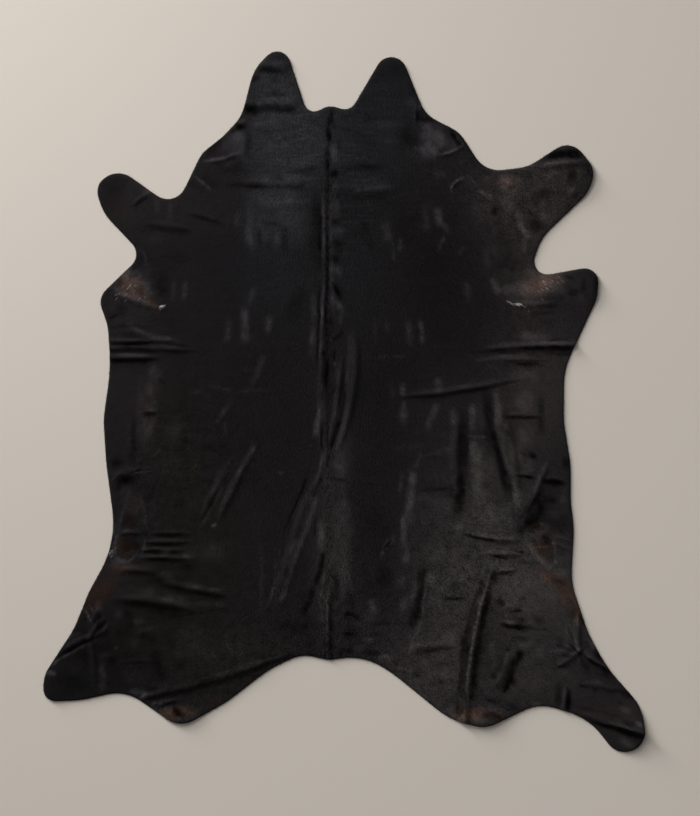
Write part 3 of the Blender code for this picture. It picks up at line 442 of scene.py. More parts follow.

# Streaks: bowed strips that are lighter or darker than what they cross: the hair's own tone, painted
# sheen, painted highlights along fold crests and painted shade along their flanks.
# start x, start y, end x, end y, bow, half width at start, half width at end, level
TONE_AND_PAINTED_LIGHT_STREAKS = [
    # left neck and cheek
    (-268, 1004, -172, 988, 0, 11, 9, -15), (-244, 924, -192, 928, 0, 6, 6, -7),
    (-260, 889, -185, 889, 0, 13, 13, -10), (-300, 859, -140, 859, 2, 9, 9, 5),
    (-350, 742, -300, 748, 2, 7, 7, 9), (-360, 654, -86, 640, 2, 11, 8, -10),
    (-244, 683, -174, 672, 0, 12, 10, -7), (-160, 692, -68, 700, 2, 10, 13, -8),
    (-280, 815, -140, 832, -5, 7, 5, -4), (-268, 537, -186, 536, 0, 5, 5, -9),
    (-254, 532, -254, 452, 0, 8, 10, -8), (-180, 540, -178, 444, 0, 12, 13, -9),
    (-135, 585, -136, 455, 0, 28, 28, 3), (-292, 828, -184, 850, 2, 9, 8, 7),
    (-212, 938, -170, 905, 2, 3, 2.5, -6), (-222, 925, -165, 916, 0, 3, 2.5, -6),
    (-231, 672, -173, 669, 0, 5, 5, -7), (-170, 674, -67, 667, 1, 6, 5, 6),
    (-362, 654, -226, 641, 2, 4.5, 4, -8), (-283, 607, -118, 603, 0, 13, 12, 4),
    (-270, 652, -120, 654, 0, 8, 8, 9),
    # left shoulder and foreleg
    (-434, 724, -340, 740, -5, 7, 8, 13), (-414, 742, -360, 800, 3, 14, 8, -7),
    (-640, 584, -580, 628, 2, 9, 8, -7), (-564, 614, -560, 564, 0, 9, 9, 8),
    (-526, 604, -520, 536, 0, 9, 9, 7), (-464, 686, -394, 630, 3, 4.5, 4.5, 15),
    (-474, 666, -410, 624, 3, 10, 10, -4), (-436, 684, -370, 642, 3, 12, 12, -4),
    (-476, 572, -356, 530, 2, 8, 8, -8), (-616, 530, -446, 504, 3, 10, 11, -9),
    (-618, 468, -593, 402, 8, 5, 5, 7), (-580, 532, -500, 520, 0, 7, 6, 6),
    # right neck and cheek
    (-8, 706, 130, 707, -3, 13, 9, -10), (-2, 642, 176, 646, 1, 13, 10, 5),
    (2, 630, 86, 633, 0, 4, 4, -6), (8, 610, 140, 619, 0, 16, 12, -7), (0, 874, 140, 846, -3, 5, 4, -3),
    (0, 796, 120, 778, 2, 16, 16, -3), (222, 847, 282, 848, 0, 9, 5, -14),
    (213, 882, 222, 836, 0, 7, 7, -10), (314, 824, 349, 766, -4, 9, 6, -22),
    (276, 740, 350, 764, -4, 6, 5, 13), (348, 760, 356, 782, 0, 5, 4, 10),
    (316, 624, 328, 658, 1, 5.5, 5.5, 15), (56, 556, 86, 446, -3, 14, 15, -6),
    (122, 554, 132, 468, 0, 20, 18, 9), (145, 490, 148, 416, 0, 9, 9, 8),
    (168, 502, 168, 446, 0, 8, 9, 9), (240, 604, 247, 496, 0, 16, 15, 8),
    (276, 594, 286, 518, 0, 14, 16, 18), (296, 546, 310, 502, 0, 11, 10, 9),
    (302, 504, 280, 446, -2, 8, 8, 14), (150, 551, 228, 546, 0, 5, 5, -4),
    (-25, 858, 106, 844, 2, 3.5, 3, -8), (32, 873, 74, 867, 0, 3, 3, -7),
    (-6, 792, 163, 781, 2, 7, 6, 4), (0, 630, 160, 646, 0, 10, 10, 8),
    # right shoulder and foreleg
    (324, 652, 362, 678, 2, 5, 5, 13), (362, 690, 406, 638, 2, 5, 5, 6),
    (396, 640, 452, 606, 1, 5, 12, 17), (538, 664, 494, 622, 2, 6, 6, 9),
    (484, 624, 479, 584, 0, 6, 7, 10), (522, 576, 524, 518, 2, 10, 13, 19),
    (518, 532, 562, 492, -2, 14, 10, 17), (537, 500, 538, 442, 0, 9, 10, 9),
    (542, 576, 592, 548, 0, 9, 8, -9), (585, 730, 726, 742, 8, 12, 17, -24),
    (440, 696, 724, 726, 2, 6, 8, 8), (342, 442, 359, 472, 0, 7, 8, 8),
    # spine, from the neck to the waist
    (-92, 356, -98, 110, 2, 12, 13, 8), (-39, 888, -41, 828, 0, 8, 9, -18),
    (-51, 832, -46, 776, 3, 7, 9, -26), (-49, 880, -50, 620, 0, 4.5, 4.5, -12),
    (-54, 760, -48, 690, -2, 8, 9, -10), (-32, 804, -29, 708, 0, 11, 15, 10),
    (-32, 622, -28, 546, 0, 18, 23, 10), (-84, 630, -84, 400, 0, 19, 16, -9),
    (-75, 610, -73, 370, 2, 5, 5, -9), (-74, 390, -83, 90, 1, 4.5, 5, -12),
    (-63, 640, -56, 390, 0, 8, 7, 11), (-56, 420, -75, 80, -2, 6.5, 6.5, 14),
    (-49, 490, -52, 290, -1, 4.5, 4.5, -15), (-53, 310, -57, 150, -1, 5, 6, -14),
    (-45, 176, 2, 224, 0, 6, 5, -18), (-53, 150, -55, 30, 0, 8, 9, -20),
    (22, 234, 12, 80, 2, 10, 13, 7), (-34, 827, 69, 802, 2, 3.5, 3.5, -8),
    (-118, 849, -60, 826, 1, 3.5, 3, -8), (-114, 836, -67, 809, 1, 3, 3, 7),
    (-49, 650, -32, 210, 0, 10, 13, 9), (-88, 540, -86, 440, 0, 9, 8, 7),
    (-69, 580, -69, 240, 0, 4, 4, -6), (-52, 460, -52, 220, 0, 5, 5, 6),
    (-22, 62, -42, 16, 1, 3.5, 3, -13),
    # left armpit and elbow
    (-512, 368, -514, 298, 0, 10, 10, 8), (-475, 368, -479, 302, 0, 10, 11, 10),
    (-676, 246, -494, 176, -8, 10, 13, 12), (-714, 226, -580, 218, 6, 6, 8, -9),
    (-706, 250, -676, 264, 1, 6, 5, -18), (-710, 176, -460, 181, 1, 9, 4, -20),
    (-700, 166, -560, 155, 1, 4, 4, -14), (-706, 150, -580, 140, 1, 9, 7, 6),
    (-714, 124, -556, 129, 1, 10, 7, -18), (-560, 181, -476, 180, 0, 6, 4, 10),
    (-700, 170, -520, 164, 0, 5, 5, -8), (-580, 152, -510, 150, 0, 5, 5, 7),
    # left ribs
    (-266, 356, -288, 286, 0, 13, 14, 7), (-300, 296, -296, 170, 0, 14, 17, 15),
    (-348, 260, -350, 174, 0, 10, 15, 9), (-223, 266, -229, 202, 0, 14, 11, 12),
    (-358, 139, -66, 138, 0, 3, 2.5, 4),
    # right ribs
    (92, 260, 93, 164, 0, 9, 9, 4), (128, 252, 128, 202, 0, 8, 8, 6),
    (192, 264, 195, 158, 0, 13, 12, 10), (228, 256, 232, 164, 0, 11, 9, 14),
    (84, 136, 204, 140, 0, 4, 3.5, 7), (35, 138, 204, 139, 0, 3, 2.5, 5),
    (80, 130, 260, 128, 0, 3, 3, -3),
    # right armpit and elbow
    (443, 380, 468, 322, -4, 10, 15, 14), (460, 336, 556, 352, -2, 16, 26, 13),
    (512, 204, 624, 184, 2, 16, 17, 14), (610, 178, 684, 178, 1, 6, 6, 8),
    (346, 151, 520, 160, -1, 5, 6, -8), (490, 159, 710, 162, 2, 5, 16, -22),
    (450, 137, 554, 143, 1, 4.5, 4, 15), (590, 147, 700, 141, 1, 4, 6, -14),
    (370, 124, 514, 115, 4, 6, 4, 11), (506, 116, 600, 114, 0, 5, 4, -24),
    (526, 108, 616, 107, 0, 4, 3, -11), (363, 370, 376, 288, 0, 12, 15, 10),
    (530, 278, 620, 282, 0, 9, 9, 13), (450, 156, 660, 160, 0, 6, 6, 7),
    (400, 118, 580, 120, 0, 6, 6, 6), (540, 184, 680, 190, 0, 6, 6, -6),
    # left back
    (-240, 152, -284, 40, 2, 17, 8, 10), (-330, 32, -224, 28, 0, 4.5, 3.5, 8),
    (-376, 84, -300, 86, 0, 5, 5, 3), (-410, 42, -320, 38, 0, 5, 5, 3),
    (-338, 20, -390, -70, 4, 12, 9, 9), (-357, -56, -358, -96, 0, 7, 7, 11),
    (-270, -116, -330, -240, 12, 14, 18, 5), (-320, -226, -388, -356, -3, 17, 11, 4),
    (-314, -164, -410, -296, -3, 9, 9, 8), (-240, -270, -100, -276, 2, 4, 3.5, -4),
    (-302, -180, -350, -300, 0, 7, 7, 8),
    # left waist
    (-434, 54, -326, 34, 1, 3.5, 3.5, 5), (-608, 108, -612, -140, 0, 12, 16, 5),
    (-636, -12, -636, -200, 0, 9, 9, -8), (-566, -32, -484, -30, 0, 6, 4, -6),
    (-564, 74, -536, 56, 0, 5, 4, -10), (-706, -236, -634, -206, 6, 4.5, 5, 16),
    (-638, -208, -564, -202, -3, 4, 4, 14), (-574, -166, -546, -140, 1, 4, 4, 9),
    (-458, -204, -442, -180, 0, 5, 5, 13), (-430, -130, -340, -144, 0, 14, 18, -5),
    (-480, -46, -340, -50, 1, 3.5, 3.5, -5), (-480, -83, -360, -87, 1, 3.5, 3.5, -5),
    (-460, -132, -330, -126, 2, 4, 3.5, -5),
    # right back
    (173, 62, 174, 18, 0, 11, 11, 15), (282, 82, 278, 22, 0, 16, 16, 12),
    (284, 6, 242, -94, -3, 13, 14, 14), (154, 14, 346, 28, -4, 5, 6, -9),
    (172, -198, 164, -278, 2, 7, 9, 8), (204, -206, 234, -140, -2, 11, 7, 9),
    (226, -172, 336, -132, 5, 6, 9, 8), (238, -168, 282, -158, 2, 6, 6, -8),
    (220, -262, 336, -260, 0, 6, 6, -10), (136, -138, 250, -126, 0, 10, 10, 4),
    (0, -205, 150, -208, 1, 3.5, 3.5, -4), (-15, -242, 156, -246, 1, 3.5, 3.5, -5),
    (0, -290, 150, -285, 1, 4, 3.5, -4),
    # right waist
    (300, 24, 454, 45, 1, 6, 6, -11), (436, 46, 568, 66, 4, 5, 3, -9), (334, 44, 400, 66, 1, 7, 6, 3),
    (354, -10, 356, -234, 2, 18, 21, -12), (354, -200, 336, -354, 2, 20, 16, -16),
    (384, 4, 383, -98, 0, 13, 12, 12), (356, -100, 436, -104, 0, 4.5, 4, 14),
    (390, -108, 394, -310, 2, 24, 36, 8), (449, 46, 462, -80, 2, 11, 14, 18),
    (458, -66, 508, -246, -5, 14, 9, 18), (502, -220, 512, -340, 2, 8, 7, 15),
    (416, 48, 436, -90, 5, 16, 15, -12), (432, -50, 500, -304, 3, 21, 21, -16),
    (466, -46, 602, -44, -1, 6, 8, -17), (588, 40, 590, -110, 0, 12, 13, -9),
    (482, -80, 494, -106, 0, 7, 6, -10), (504, -218, 578, -228, 3, 5, 4, -9),
    (614, -154, 518, -390, 3, 4.5, 4, 11), (576, -200, 528, -210, 0, 4, 4, 7),
    (520, -146, 552, -166, 0, 3.5, 3, -12), (450, -30, 464, -120, 0, 8, 8, 8),
    (418, -60, 442, -190, 0, 10, 10, -10),
    # spine, from the waist to the tail
    (-64, -456, -94, -556, 4, 11, 9, -20), (-86, -346, -92, -410, 0, 5, 5, -12),
    (-64, -506, -78, -600, 6, 3.5, 3.5, 10), (-82, -580, -66, -660, 3, 3.5, 3.5, 8),
    (-64, 10, -90, -114, -3, 10, 13, 16), (-66, -66, -69, -144, 0, 5, 4, -18),
    (-64, 0, -60, -150, -2, 5, 5, 14), (-58, -130, -94, -264, 3, 6, 7, 14),
    (-50, -20, -53, -220, 2, 3.5, 3.5, -8), (2, 60, -16, -64, 4, 6, 7, -19),
    (-10, -48, -46, -148, 3, 7, 5, -17), (14, 90, -2, -60, 3, 8, 6, 4),
    (0, -46, -38, -170, 5, 8, 11, 4), (-52, -232, 16, -233, 0, 7, 6, -10),
    (-44, -560, -45, -770, 0, 5.5, 6, -16), (-52, -560, -52, -680, 0, 3.5, 3.5, 7),
    (-6, -630, 50, -654, 5, 9, 7, -20), (6, -500, 26, -580, 2, 5, 5, 10),
    (-63, 80, -63, -80, 0, 8, 8, 7), (18, 140, -24, -120, 3, 8, 8, 8),
    (-50, 0, -54, -360, 0, 13, 13, 6), (14, 120, -20, -60, 3, 7, 7, 7), (-65, 80, -69, -20, 0, 6, 6, 6),
    # left croup
    (-78, -244, -170, -496, 6, 14, 17, 22), (-138, -390, -204, -624, 6, 16, 9, 22),
    (-106, -200, -188, -406, 3, 6, 7, -15), (-126, -270, -186, -410, 3, 3.5, 4, 9),
    (-186, -400, -240, -636, 10, 6, 5, 6), (-206, -460, -226, -620, 4, 3.5, 3.5, 10),
    (-250, -400, -254, -660, 3, 7, 9, 5), (-138, -300, -222, -570, 4, 8, 9, -6),
    # left hip and flank
    (-644, -252, -688, -384, 6, 8, 7, 6), (-684, -360, -698, -406, 0, 4, 4, 16),
    (-616, -270, -596, -396, 8, 7, 5, 9), (-360, -230, -436, -380, 4, 7, 7, 9),
    (-608, -364, -586, -410, 2, 6, 6, -8), (-588, -395, -460, -392, 1, 8, 4, -16),
    (-606, -424, -500, -427, 0, 6, 6, -15), (-510, -426, -434, -422, 0, 8, 6, -7),
    (-614, -437, -564, -438, 2, 3, 3, -9), (-622, -450, -536, -446, 4, 5, 4, -18),
    (-600, -469, -510, -459, 2, 3.5, 3.5, 6), (-638, -482, -506, -469, 5, 8, 8, -10),
    (-678, -386, -689, -466, -4, 4, 6, 18), (-696, -456, -616, -444, -26, 7, 5, 26),
    (-618, -464, -596, -406, -5, 5, 4, 14), (-686, -516, -580, -516, 3, 9, 13, -9),
    (-600, -522, -476, -564, 3, 17, 8, -11), (-668, -546, -550, -578, 2, 17, 20, 8),
    (-684, -399, -584, -397, 2, 5, 4.5, -22), (-470, -546, -420, -590, 2, 8, 8, -5),
    (-662, -336, -682, -394, 0, 3.5, 4, 12),
    # right croup
    (148, -400, 132, -436, 3, 4, 4, 15), (136, -434, 109, -472, -7, 4, 5, 17),
    (202, -236, 182, -382, 2, 16, 15, 11), (182, -326, 173, -448, 0, 13, 11, 14),
    (226, -352, 246, -368, 0, 2.5, 2.5, 16), (236, -486, 232, -590, 0, 16, 19, -14),
    (20, -330, 140, -334, 1, 3.5, 3.5, -4), (176, -330, 172, -410, 0, 8, 8, 8),
    # right hip and flank
    (346, -394, 468, -416, -2, 4, 6, -20), (440, -462, 500, -471, 1, 6, 4, -26),
    (476, -454, 550, -452, 6, 4, 7, -22), (446, -453, 530, -450, 3, 3, 3, 16),
    (528, -474, 576, -488, 1, 5, 7, -9), (552, -416, 584, -474, -4, 8, 9, 18),
    (450, -478, 405, -625, -2, 4, 4.5, 14), (542, -388, 616, -376, 16, 5, 5, 12),
    (592, -460, 624, -504, 0, 6, 5, 14), (570, -454, 622, -496, -6, 9, 9, 24),
    (604, -504, 634, -470, -6, 7, 6, 22), (632, -490, 626, -406, 0, 5, 4, 22),
    (562, -434, 618, -433, 0, 4, 4, 12), (436, -480, 406, -600, 0, 11, 12, -11),
    # left rump and hem
    (-90, -546, -128, -640, 3, 9, 11, -16), (-570, -572, -440, -614, 2, 20, 15, 9),
    (-508, -570, -336, -589, 3, 7, 10, -11), (-460, -606, -346, -609, 2, 9, 7, 9),
    (-494, -636, -338, -614, -3, 5, 4.5, -9), (-480, -859, -260, -794, 4, 15, 8, -12),
    (-300, -804, -130, -758, 3, 9, 5, -8), (-580, -876, -360, -814, 3, 10, 9, -6),
    (-360, -814, -120, -754, 2, 9, 7, -5), (-490, -568, -370, -584, 0, 6, 6, 7),
    # left thigh and hind leg
    (-708, -598, -550, -618, 3, 10, 19, -10), (-586, -618, -468, -646, 2, 20, 13, -9),
    (-786, -614, -762, -662, 4, 4.5, 4, 30), (-770, -604, -752, -636, 3, 3.5, 3.5, 18),
    (-732, -614, -744, -684, 4, 6, 6, -12), (-766, -704, -704, -658, -6, 9, 8, 14),
    (-748, -712, -704, -684, -2, 9, 9, -10), (-852, -750, -764, -703, -3, 11, 8, -10),
    (-860, -770, -766, -716, -2, 6, 5, 25), (-836, -710, -784, -692, 2, 8, 6, 16),
    (-648, -618, -642, -690, 0, 16, 14, -9), (-618, -696, -562, -714, 0, 14, 11, -9),
    (-578, -730, -540, -850, 3, 15, 14, -12), (-670, -789, -576, -786, 0, 4, 4, 9),
    (-670, -780, -580, -778, 0, 5, 5, -5), (-608, -886, -460, -840, 3, 9, 6, 4),
    (-600, -896, -446, -848, 5, 10, 16, -10), (-574, -922, -496, -896, 1, 4, 3.5, -18),
    (-810, -746, -710, -696, 0, 6, 6, 8),
    # right rump and hem
    (56, -662, 178, -666, 0, 9, 7, -8), (98, -774, 138, -754, 3, 5, 6, 18),
    (286, -588, 372, -589, 2, 7, 4, -18), (346, -648, 370, -644, 0, 4, 4, -9),
    (204, -754, 296, -736, -3, 9, 7, -16), (288, -740, 336, -736, 0, 3.5, 3.5, -14),
    (232, -566, 196, -680, -3, 19, 15, -15), (252, -514, 234, -654, -5, 6, 5, 14),
    (238, -642, 188, -770, -4, 5, 7, 14), (420, -510, 380, -650, 0, 9, 14, -16),
    (392, -610, 354, -760, 2, 16, 21, -20), (364, -690, 344, -940, 3, 20, 16, -20),
    (409, -595, 377, -754, 2, 4.5, 5, 18), (382, -715, 365, -865, 2, 5, 5, 24),
    (367, -825, 366, -916, 1, 4.5, 4.5, 20), (444, -550, 408, -700, -5, 13, 15, -13),
    (412, -660, 383, -916, -5, 16, 13, -15), (480, -626, 542, -624, -2, 5, 4, -20),
    (458, -664, 546, -677, -2, 9, 9, -24), (514, -782, 472, -884, -2, 15, 8, -29),
    (518, -732, 460, -854, -3, 5, 5, 9), (486, -742, 444, -838, -2, 11, 13, -11),
    (356, -882, 426, -878, 0, 5, 4, -8), (186, -710, 224, -664, 0, 7, 5, 5),
    # right thigh and hind leg
    (526, -622, 590, -619, 0, 3, 3, 9), (534, -674, 626, -688, 1, 5, 3, -15),
    (534, -736, 506, -798, 0, 13, 13, -28), (668, -654, 698, -740, 5, 4.5, 4, 12),
    (682, -658, 692, -716, -3, 3.5, 3.5, -12), (702, -626, 695, -714, 3, 4, 3.5, 16),
    (699, -664, 697, -726, 1, 3, 3, -14), (666, -718, 700, -752, 2, 5, 5, -18),
    (700, -746, 716, -784, 0, 4.5, 4, -14), (712, -750, 802, -809, 2, 4, 3, 13),
    (718, -762, 804, -819, 2, 9, 6, -27), (704, -744, 740, -734, 2, 3, 3, -10),
    (674, -856, 668, -928, 1, 9, 11, -22), (642, -836, 642, -916, 0, 14, 16, -9),
    (780, -870, 846, -866, 3, 6, 7, -10), (734, -956, 814, -978, 1, 6, 11, -22),
    (798, -974, 906, -1009, 1, 11, 16, -26), (736, -950, 900, -990, 2, 3.5, 3.5, 12),
]

# Brown parts: x, y, half length, half breadth, turn, share of brown, share of tan.
BROWN_PATCHES = [
    (-640, 348, 100, 52, -36, 0.9, 0.5), (-576, 298, 64, 24, -40, 0.7, 0.3),
    (-680, 578, 80, 40, -40, 0.45, 0), (-590, 486, 40, 26, 0, 0.4, 0), (588, 358, 96, 46, 24, 0.9, 0.5),
    (488, 662, 66, 44, -4, 0.6, 0.5), (460, 614, 46, 30, -50, 0.4, 0.2),
    (520, 250, 80, 55, -30, 0.4, 0), (670, 600, 80, 32, 45, 0.5, 0), (570, 530, 50, 50, 0, 0.4, 0),
    (-584, -20, 36, 160, 0, 0.4, 0.3), (-652, -430, 56, 44, 0, 0.9, 0), (-646, -360, 44, 46, 0, 0.5, 0),
    (-735, -574, 106, 52, 49, 1, 0.35), (-674, -500, 70, 32, 24, 0.7, 0.4),
    (590, -434, 50, 68, -16, 0.7, 0.1), (570, -376, 54, 30, 0, 0.6, 0),
    (664, -570, 90, 50, -60, 0.9, 0.2), (616, -526, 70, 36, -24, 0.8, 0.2),
    (380, -934, 106, 44, 0, 0.8, 0.25), (454, -938, 34, 16, -34, 1, 0),
    (240, -840, 100, 50, -40, 0.3, 0.1), (-498, -930, 96, 40, 6, 0.9, 0.15),
    (-502, -924, 26, 12, -50, 1, 0), (-390, -900, 60, 28, 30, 0.6, 0), (536, 0, 46, 120, 0, 0.25, 0),
    (-636, -310, 44, 80, 0, 0.4, 0.4), (620, 372, 74, 44, 22, 0.7, 0.5),
    (698, -630, 50, 34, -60, 0.8, 0.1), (570, 540, 54, 44, 0, 0.3, 0), (690, 610, 60, 26, 45, 0.4, 0.2),
]

# Parts where short hairs lie unevenly, with painted glints of their sheen: x, y, half length, half
# breadth, turn, share.
GRAIN_AND_GLINT_PARTS = [
    (0, -840, 1050, 500, 0, 0.8), (400, -440, 340, 360, 0, 0.8), (560, 620, 340, 300, 0, 0.8),
    (540, 200, 240, 300, 0, 0.4), (-500, -240, 300, 380, 0, 0.6), (-660, 360, 220, 220, 0, 0.4),
    (300, 780, 220, 180, 0, 0.3), (0, -400, 120, 300, 0, 0.5), (-220, 860, 200, 260, 0, 0.3),
    (-220, 620, 220, 300, 0, 0.2),
]

# Parts with fine wrinkles across the hide, painted as shade in their furrows: x, y, half length, half
# breadth, turn, share.
WRINKLE_SHADE_PARTS = [
    (-60, 760, 400, 440, 0, 1), (200, 500, 400, 300, 0, 0.5), (-300, 300, 500, 400, 0, 0.35),
    (-440, -120, 360, 300, 0, 0.5), (340, 40, 400, 400, 0, 0.4), (300, -400, 400, 300, 0, 0.4),
    (-440, -760, 440, 260, 0, 0.4), (500, -800, 440, 260, 0, 0.3),
]

# Strips of white hairs: start x, start y, end x, end y, bow, half width, share of white.
WHITE_STRIPS = [
    (-690, 334, -634, 314, -2, 17, 0.3), (-656, 366, -584, 302, -3, 20, 0.2),
    (-562, 284, -532, 290, 0, 4.5, 0.9), (482, 309, 506, 294, -1, 5, 0.8),
    (500, 298, 540, 293, -1, 6, 0.9), (536, 276, 574, 285, 0, 4, 0.4), (604, 290, 650, 306, 0, 4, 0.3),
    (570, 330, 660, 374, 5, 28, 0.26), (-700, -438, -692, -456, 0, 8, 0.5),
]

# ---- hair, colours and map
SEED = 5                      # of all that is drawn, and each soft noise has its own:
LOCK_SEEDS = (SEED + 1, SEED + 2)
FLOW_SEED = SEED + 3
WANDER_SEEDS = (SEED + 4, SEED + 5)
RAGGED_SEEDS = (SEED + 6, SEED + 7)
NOISE_LATTICE = 509           # squares to each side after which soft noise repeats itself
SPINE_X = -52.0 * MM          # the spine's place across the hide, before TABLE_SHIFT
LAY_TURN = 48.0               # heading of the hair at the belly, in degrees from the spine
LAY_REACH = 450.0 * MM        # distance from the spine where it has that heading

LOCK_CONTRAST = 0.22          # how far each noise changes the coat's shade
HAIR_CONTRAST = 0.32
CLOUD_CONTRAST = 0.3
# The grain is painted glints of the hairs' sheen as well as their uneven tone.
GRAIN_CONTRAST = 3.5
MOTTLE_CONTRAST = 2.0
GRAIN_LEAST = 0.14            # share of the grain that is everywhere
WRINKLE_CONTRAST = 1.1
FURROW_SHADE_DEPTH = 0.26          # how much darker a furrow's painted shade makes the coat
FLECK_TURN = 2.6              # how far flecks of hair lean to a warm or an olive hue
PLAIN_TINT = (1.04, 0.945, 1.045, 1.0)
COOL_TINT = (0.95, 0.975, 1.11, 1.0)
WARM_TINT = (1.14, 0.94, 0.95, 1.0)
OLIVE_TINT = (1.03, 0.98, 0.83, 1.0)
BROWN_TINT = (1.45, 0.92, 0.73, 1.0)
TAN_TINT = (1.24, 0.96, 0.92, 1.0)
WHITE_HAIR = (0.42, 0.38, 0.36, 1.0)
HAIR_STEP = 5.4 * MM          # between the roots of the coat's hairs
HAIR_LENGTH = (11.0 * MM, 19.0 * MM)
HAIR_BREADTH = (0.6 * MM, 1.1 * MM)
HAIR_HEIGHT = 0.14 * MM       # of the hair itself, over the line through its middle
HAIR_LIFT = (-0.35 * MM, 0.15 * MM, 0.5 * MM)   # over the coat at root, middle and tip
HAIR_MIDDLE = 0.4             # the hair is broadest at this share of its length
HAIR_SWAY = 6.0               # spread of the hairs' headings, in degrees
FLOW_SWAY = 11.0              # slow turns of the lay, in degrees
FLOW_LENGTH = 90.0 * MM       # and how long these are
HAIR_UNEVEN = 0.4             # spread of the hairs' shades, as a power of e
ROOT_SHAKE = 0.25             # how far a root is shaken once more, as a share of the step
ROOT_RIM_GAP = 3.0 * MM       # roots keep this far inside the rim,
TIP_OVERHANG = 0.5 * MM       # and tips reach this far over it at most
RIM_HAIR_STEP = 1.5 * MM      # between the hairs along the rim
RIM_HAIR_BACK = (2.5 * MM, 5.5 * MM)
RIM_HAIR_LENGTH = (4.0 * MM, 8.5 * MM)
RIM_HAIR_SWAY = 0.3           # spread of their headings, in radians
RIM_HAIR_LAY = 0.5            # how far the coat's lay turns them from straight outwards
RIM_HAIR_SINK = (0.6 * MM, 0.4, 0.9)   # how deep the root lies in the coat, and by what
                              # shares of the rim's thinning the middle and tip come down
SPINE_HAIRS = 900
SPINE_HAIRS_FROM_TO = (-0.76, 0.87)    # along the hide, before TABLE_SHIFT
SPINE_HAIR_SPREAD = 4.0 * MM  # usual distance of a root from the crest
SPINE_HAIR_LENGTH = (12.0 * MM, 24.0 * MM)
SPINE_HAIR_LIFT = (-0.3 * MM, 0.5 * MM, 1.2 * MM)
SPINE_HAIR_SWAY = 0.22        # spread of their headings, in radians
SPINE_PARTING = 30.0          # radians that they turn outwards for a metre off the crest
MAP_MARGIN = 0.08             # share of a hair's square on its map that stays bare
SUEDE_DARK = (0.30, 0.25, 0.20, 1.0)
SUEDE_LIGHT = (0.52, 0.46, 0.39, 1.0)
FLOOR_COLOUR = (0.66, 0.61, 0.555, 1.0)

# Streaks of the coat along the hair: scale along it, scale across it, detail.
LOCK_STREAKS = (26.0, 150.0, 3.0)
HAIR_STREAKS = (70.0, 520.0, 2.0)
STREAK_DEPTH_SCALE = 20.0
STREAK_ROUGHNESS = 0.6
STREAK_DISTORTION = 0.15

# Other noises of the finishes: scale, detail, roughness and distortion.
CLOUD_NOISE = (9.0, 4.0, 0.55)
GRAIN_NOISE = (210.0, 2.0, 0.6)
MOTTLE_NOISE = (44.0, 3.0, 0.6)
FLECK_NOISE = (120.0, 1.0, 0.5)
WRINKLE_NOISE = (1.0, 3.0, 0.6, 0.9)
SUEDE_CLOUDS = (7.0, 5.0, 0.6)
SUEDE_FIBRES = (420.0, 3.0, 0.7, 0.4)

WRINKLE_SCALES = (11.0, 72.0, 1.0)      # of the wrinkles, along and across them and in depth
WRINKLE_TURN = 0.03           # in radians
FURROW_POWER = 9.0            # the higher, the narrower the furrows
LEAST_SHADE = 0.2             # of the coat's shade where all the noises darken it
STREAKY_LOCKS = 0.7           # brown, tan and white hairs come in by locks
STREAKY_HAIRS = 0.5           # and by single hairs,
STREAKY_MIDDLE = 0.6          # about this middle
BROWN_FIRMNESS = 2.4
WHITE_FIRMNESS = 3.0
COVER_START = 5.0             # a share of 1 over this is where such hairs come in fully
COAT_ROUGHNESS = 0.70
SHINY_LOCKS = 0.16            # how much smoother than that the coat's locks get
COAT_SPECULAR = 0.015
COAT_RELIEF = (0.8, 0.25 * MM)          # strength and depth
RELIEF_OF_LOCKS = 1.2
RELIEF_OF_HAIRS = 0.5
SUEDE_RELIEF = (0.5, 0.4 * MM)
SHARE_OF_CLOUDS = 0.6         # in the suede's colour
SHARE_OF_FIBRES = 0.5
SUEDE_FINISH = (0.9, 0.2)     # roughness and specular level
FLOOR_FINISH = (0.9, 0.1)

MAP_SCALE = 0.46              # of the whole map for a metre of the coat
WALL_ON_MAP = 8.0 * MM        # how far the wall is fanned out round the coat
UNDER_MAP_SCALE = 0.07        # of the whole map for a metre of the flesh side,
UNDER_ON_MAP = np.array([0.862, 0.01])   # and the corner where that starts

# ---- stage
FLOOR_REACH = 60.0
LIGHT_COLOUR = (1.0, 0.985, 0.965)
# name, strength, spread in degrees, where it comes from
WIDE_LIGHTS = [("low light", 3.4, 18.0, (-5.0, 5.0, 1.35)),
               ("high light", 0.95, 50.0, (-4.0, 5.0, 4.5))]
CORNER_LIGHT_POWER = 60.0
CORNER_LIGHT_SIZE = 1.6
CORNER_LIGHT_FROM = (-2.2, 2.5, 2.4)
SURROUND_COLOUR = (1.0, 0.985, 0.96, 1.0)
SURROUND_STRENGTH = 0.19

LENS = 120.0
SENSOR = 36.0
VIEW_HEIGHT = 2.448           # metres of floor from the top of the view to its bottom
VIEW_MIDDLE = (0.0175, -0.0188)


# ---------------------------------------------------------------- shared shapes

def eased(value):
    """0 below 0, 1 above 1, and a soft S between."""
    value = np.clip(value, 0.0, 1.0)
    return value * value * (3.0 - 2.0 * value)


def soft_hump(distance):
    """1 at the middle, 0 with a level foot from a distance of 1 outwards."""
    return np.clip(1.0 - distance ** 2, 0.0, None) ** 2


def bowed_line(start, end, bow, count):
    """Points start + s (end - start) + 4 s (1 - s) bow to the left, and their shares s."""
    way = end - start
    left = np.array([-way[1], way[0]]) / np.hypot(way[0], way[1])
    share = np.linspace(0.0, 1.0, count)
    off = 4.0 * share * (1.0 - share) * bow
    return start + share[:, None] * way + off[:, None] * left, share


def in_metres(x0, y0, x1, y1, bow):
    """The start, the end and the bow of a table's row, in metres."""
    start = np.array([x0, y0]) * MM + TABLE_SHIFT
    end = np.array([x1, y1]) * MM + TABLE_SHIFT
    return start, end, bow * MM


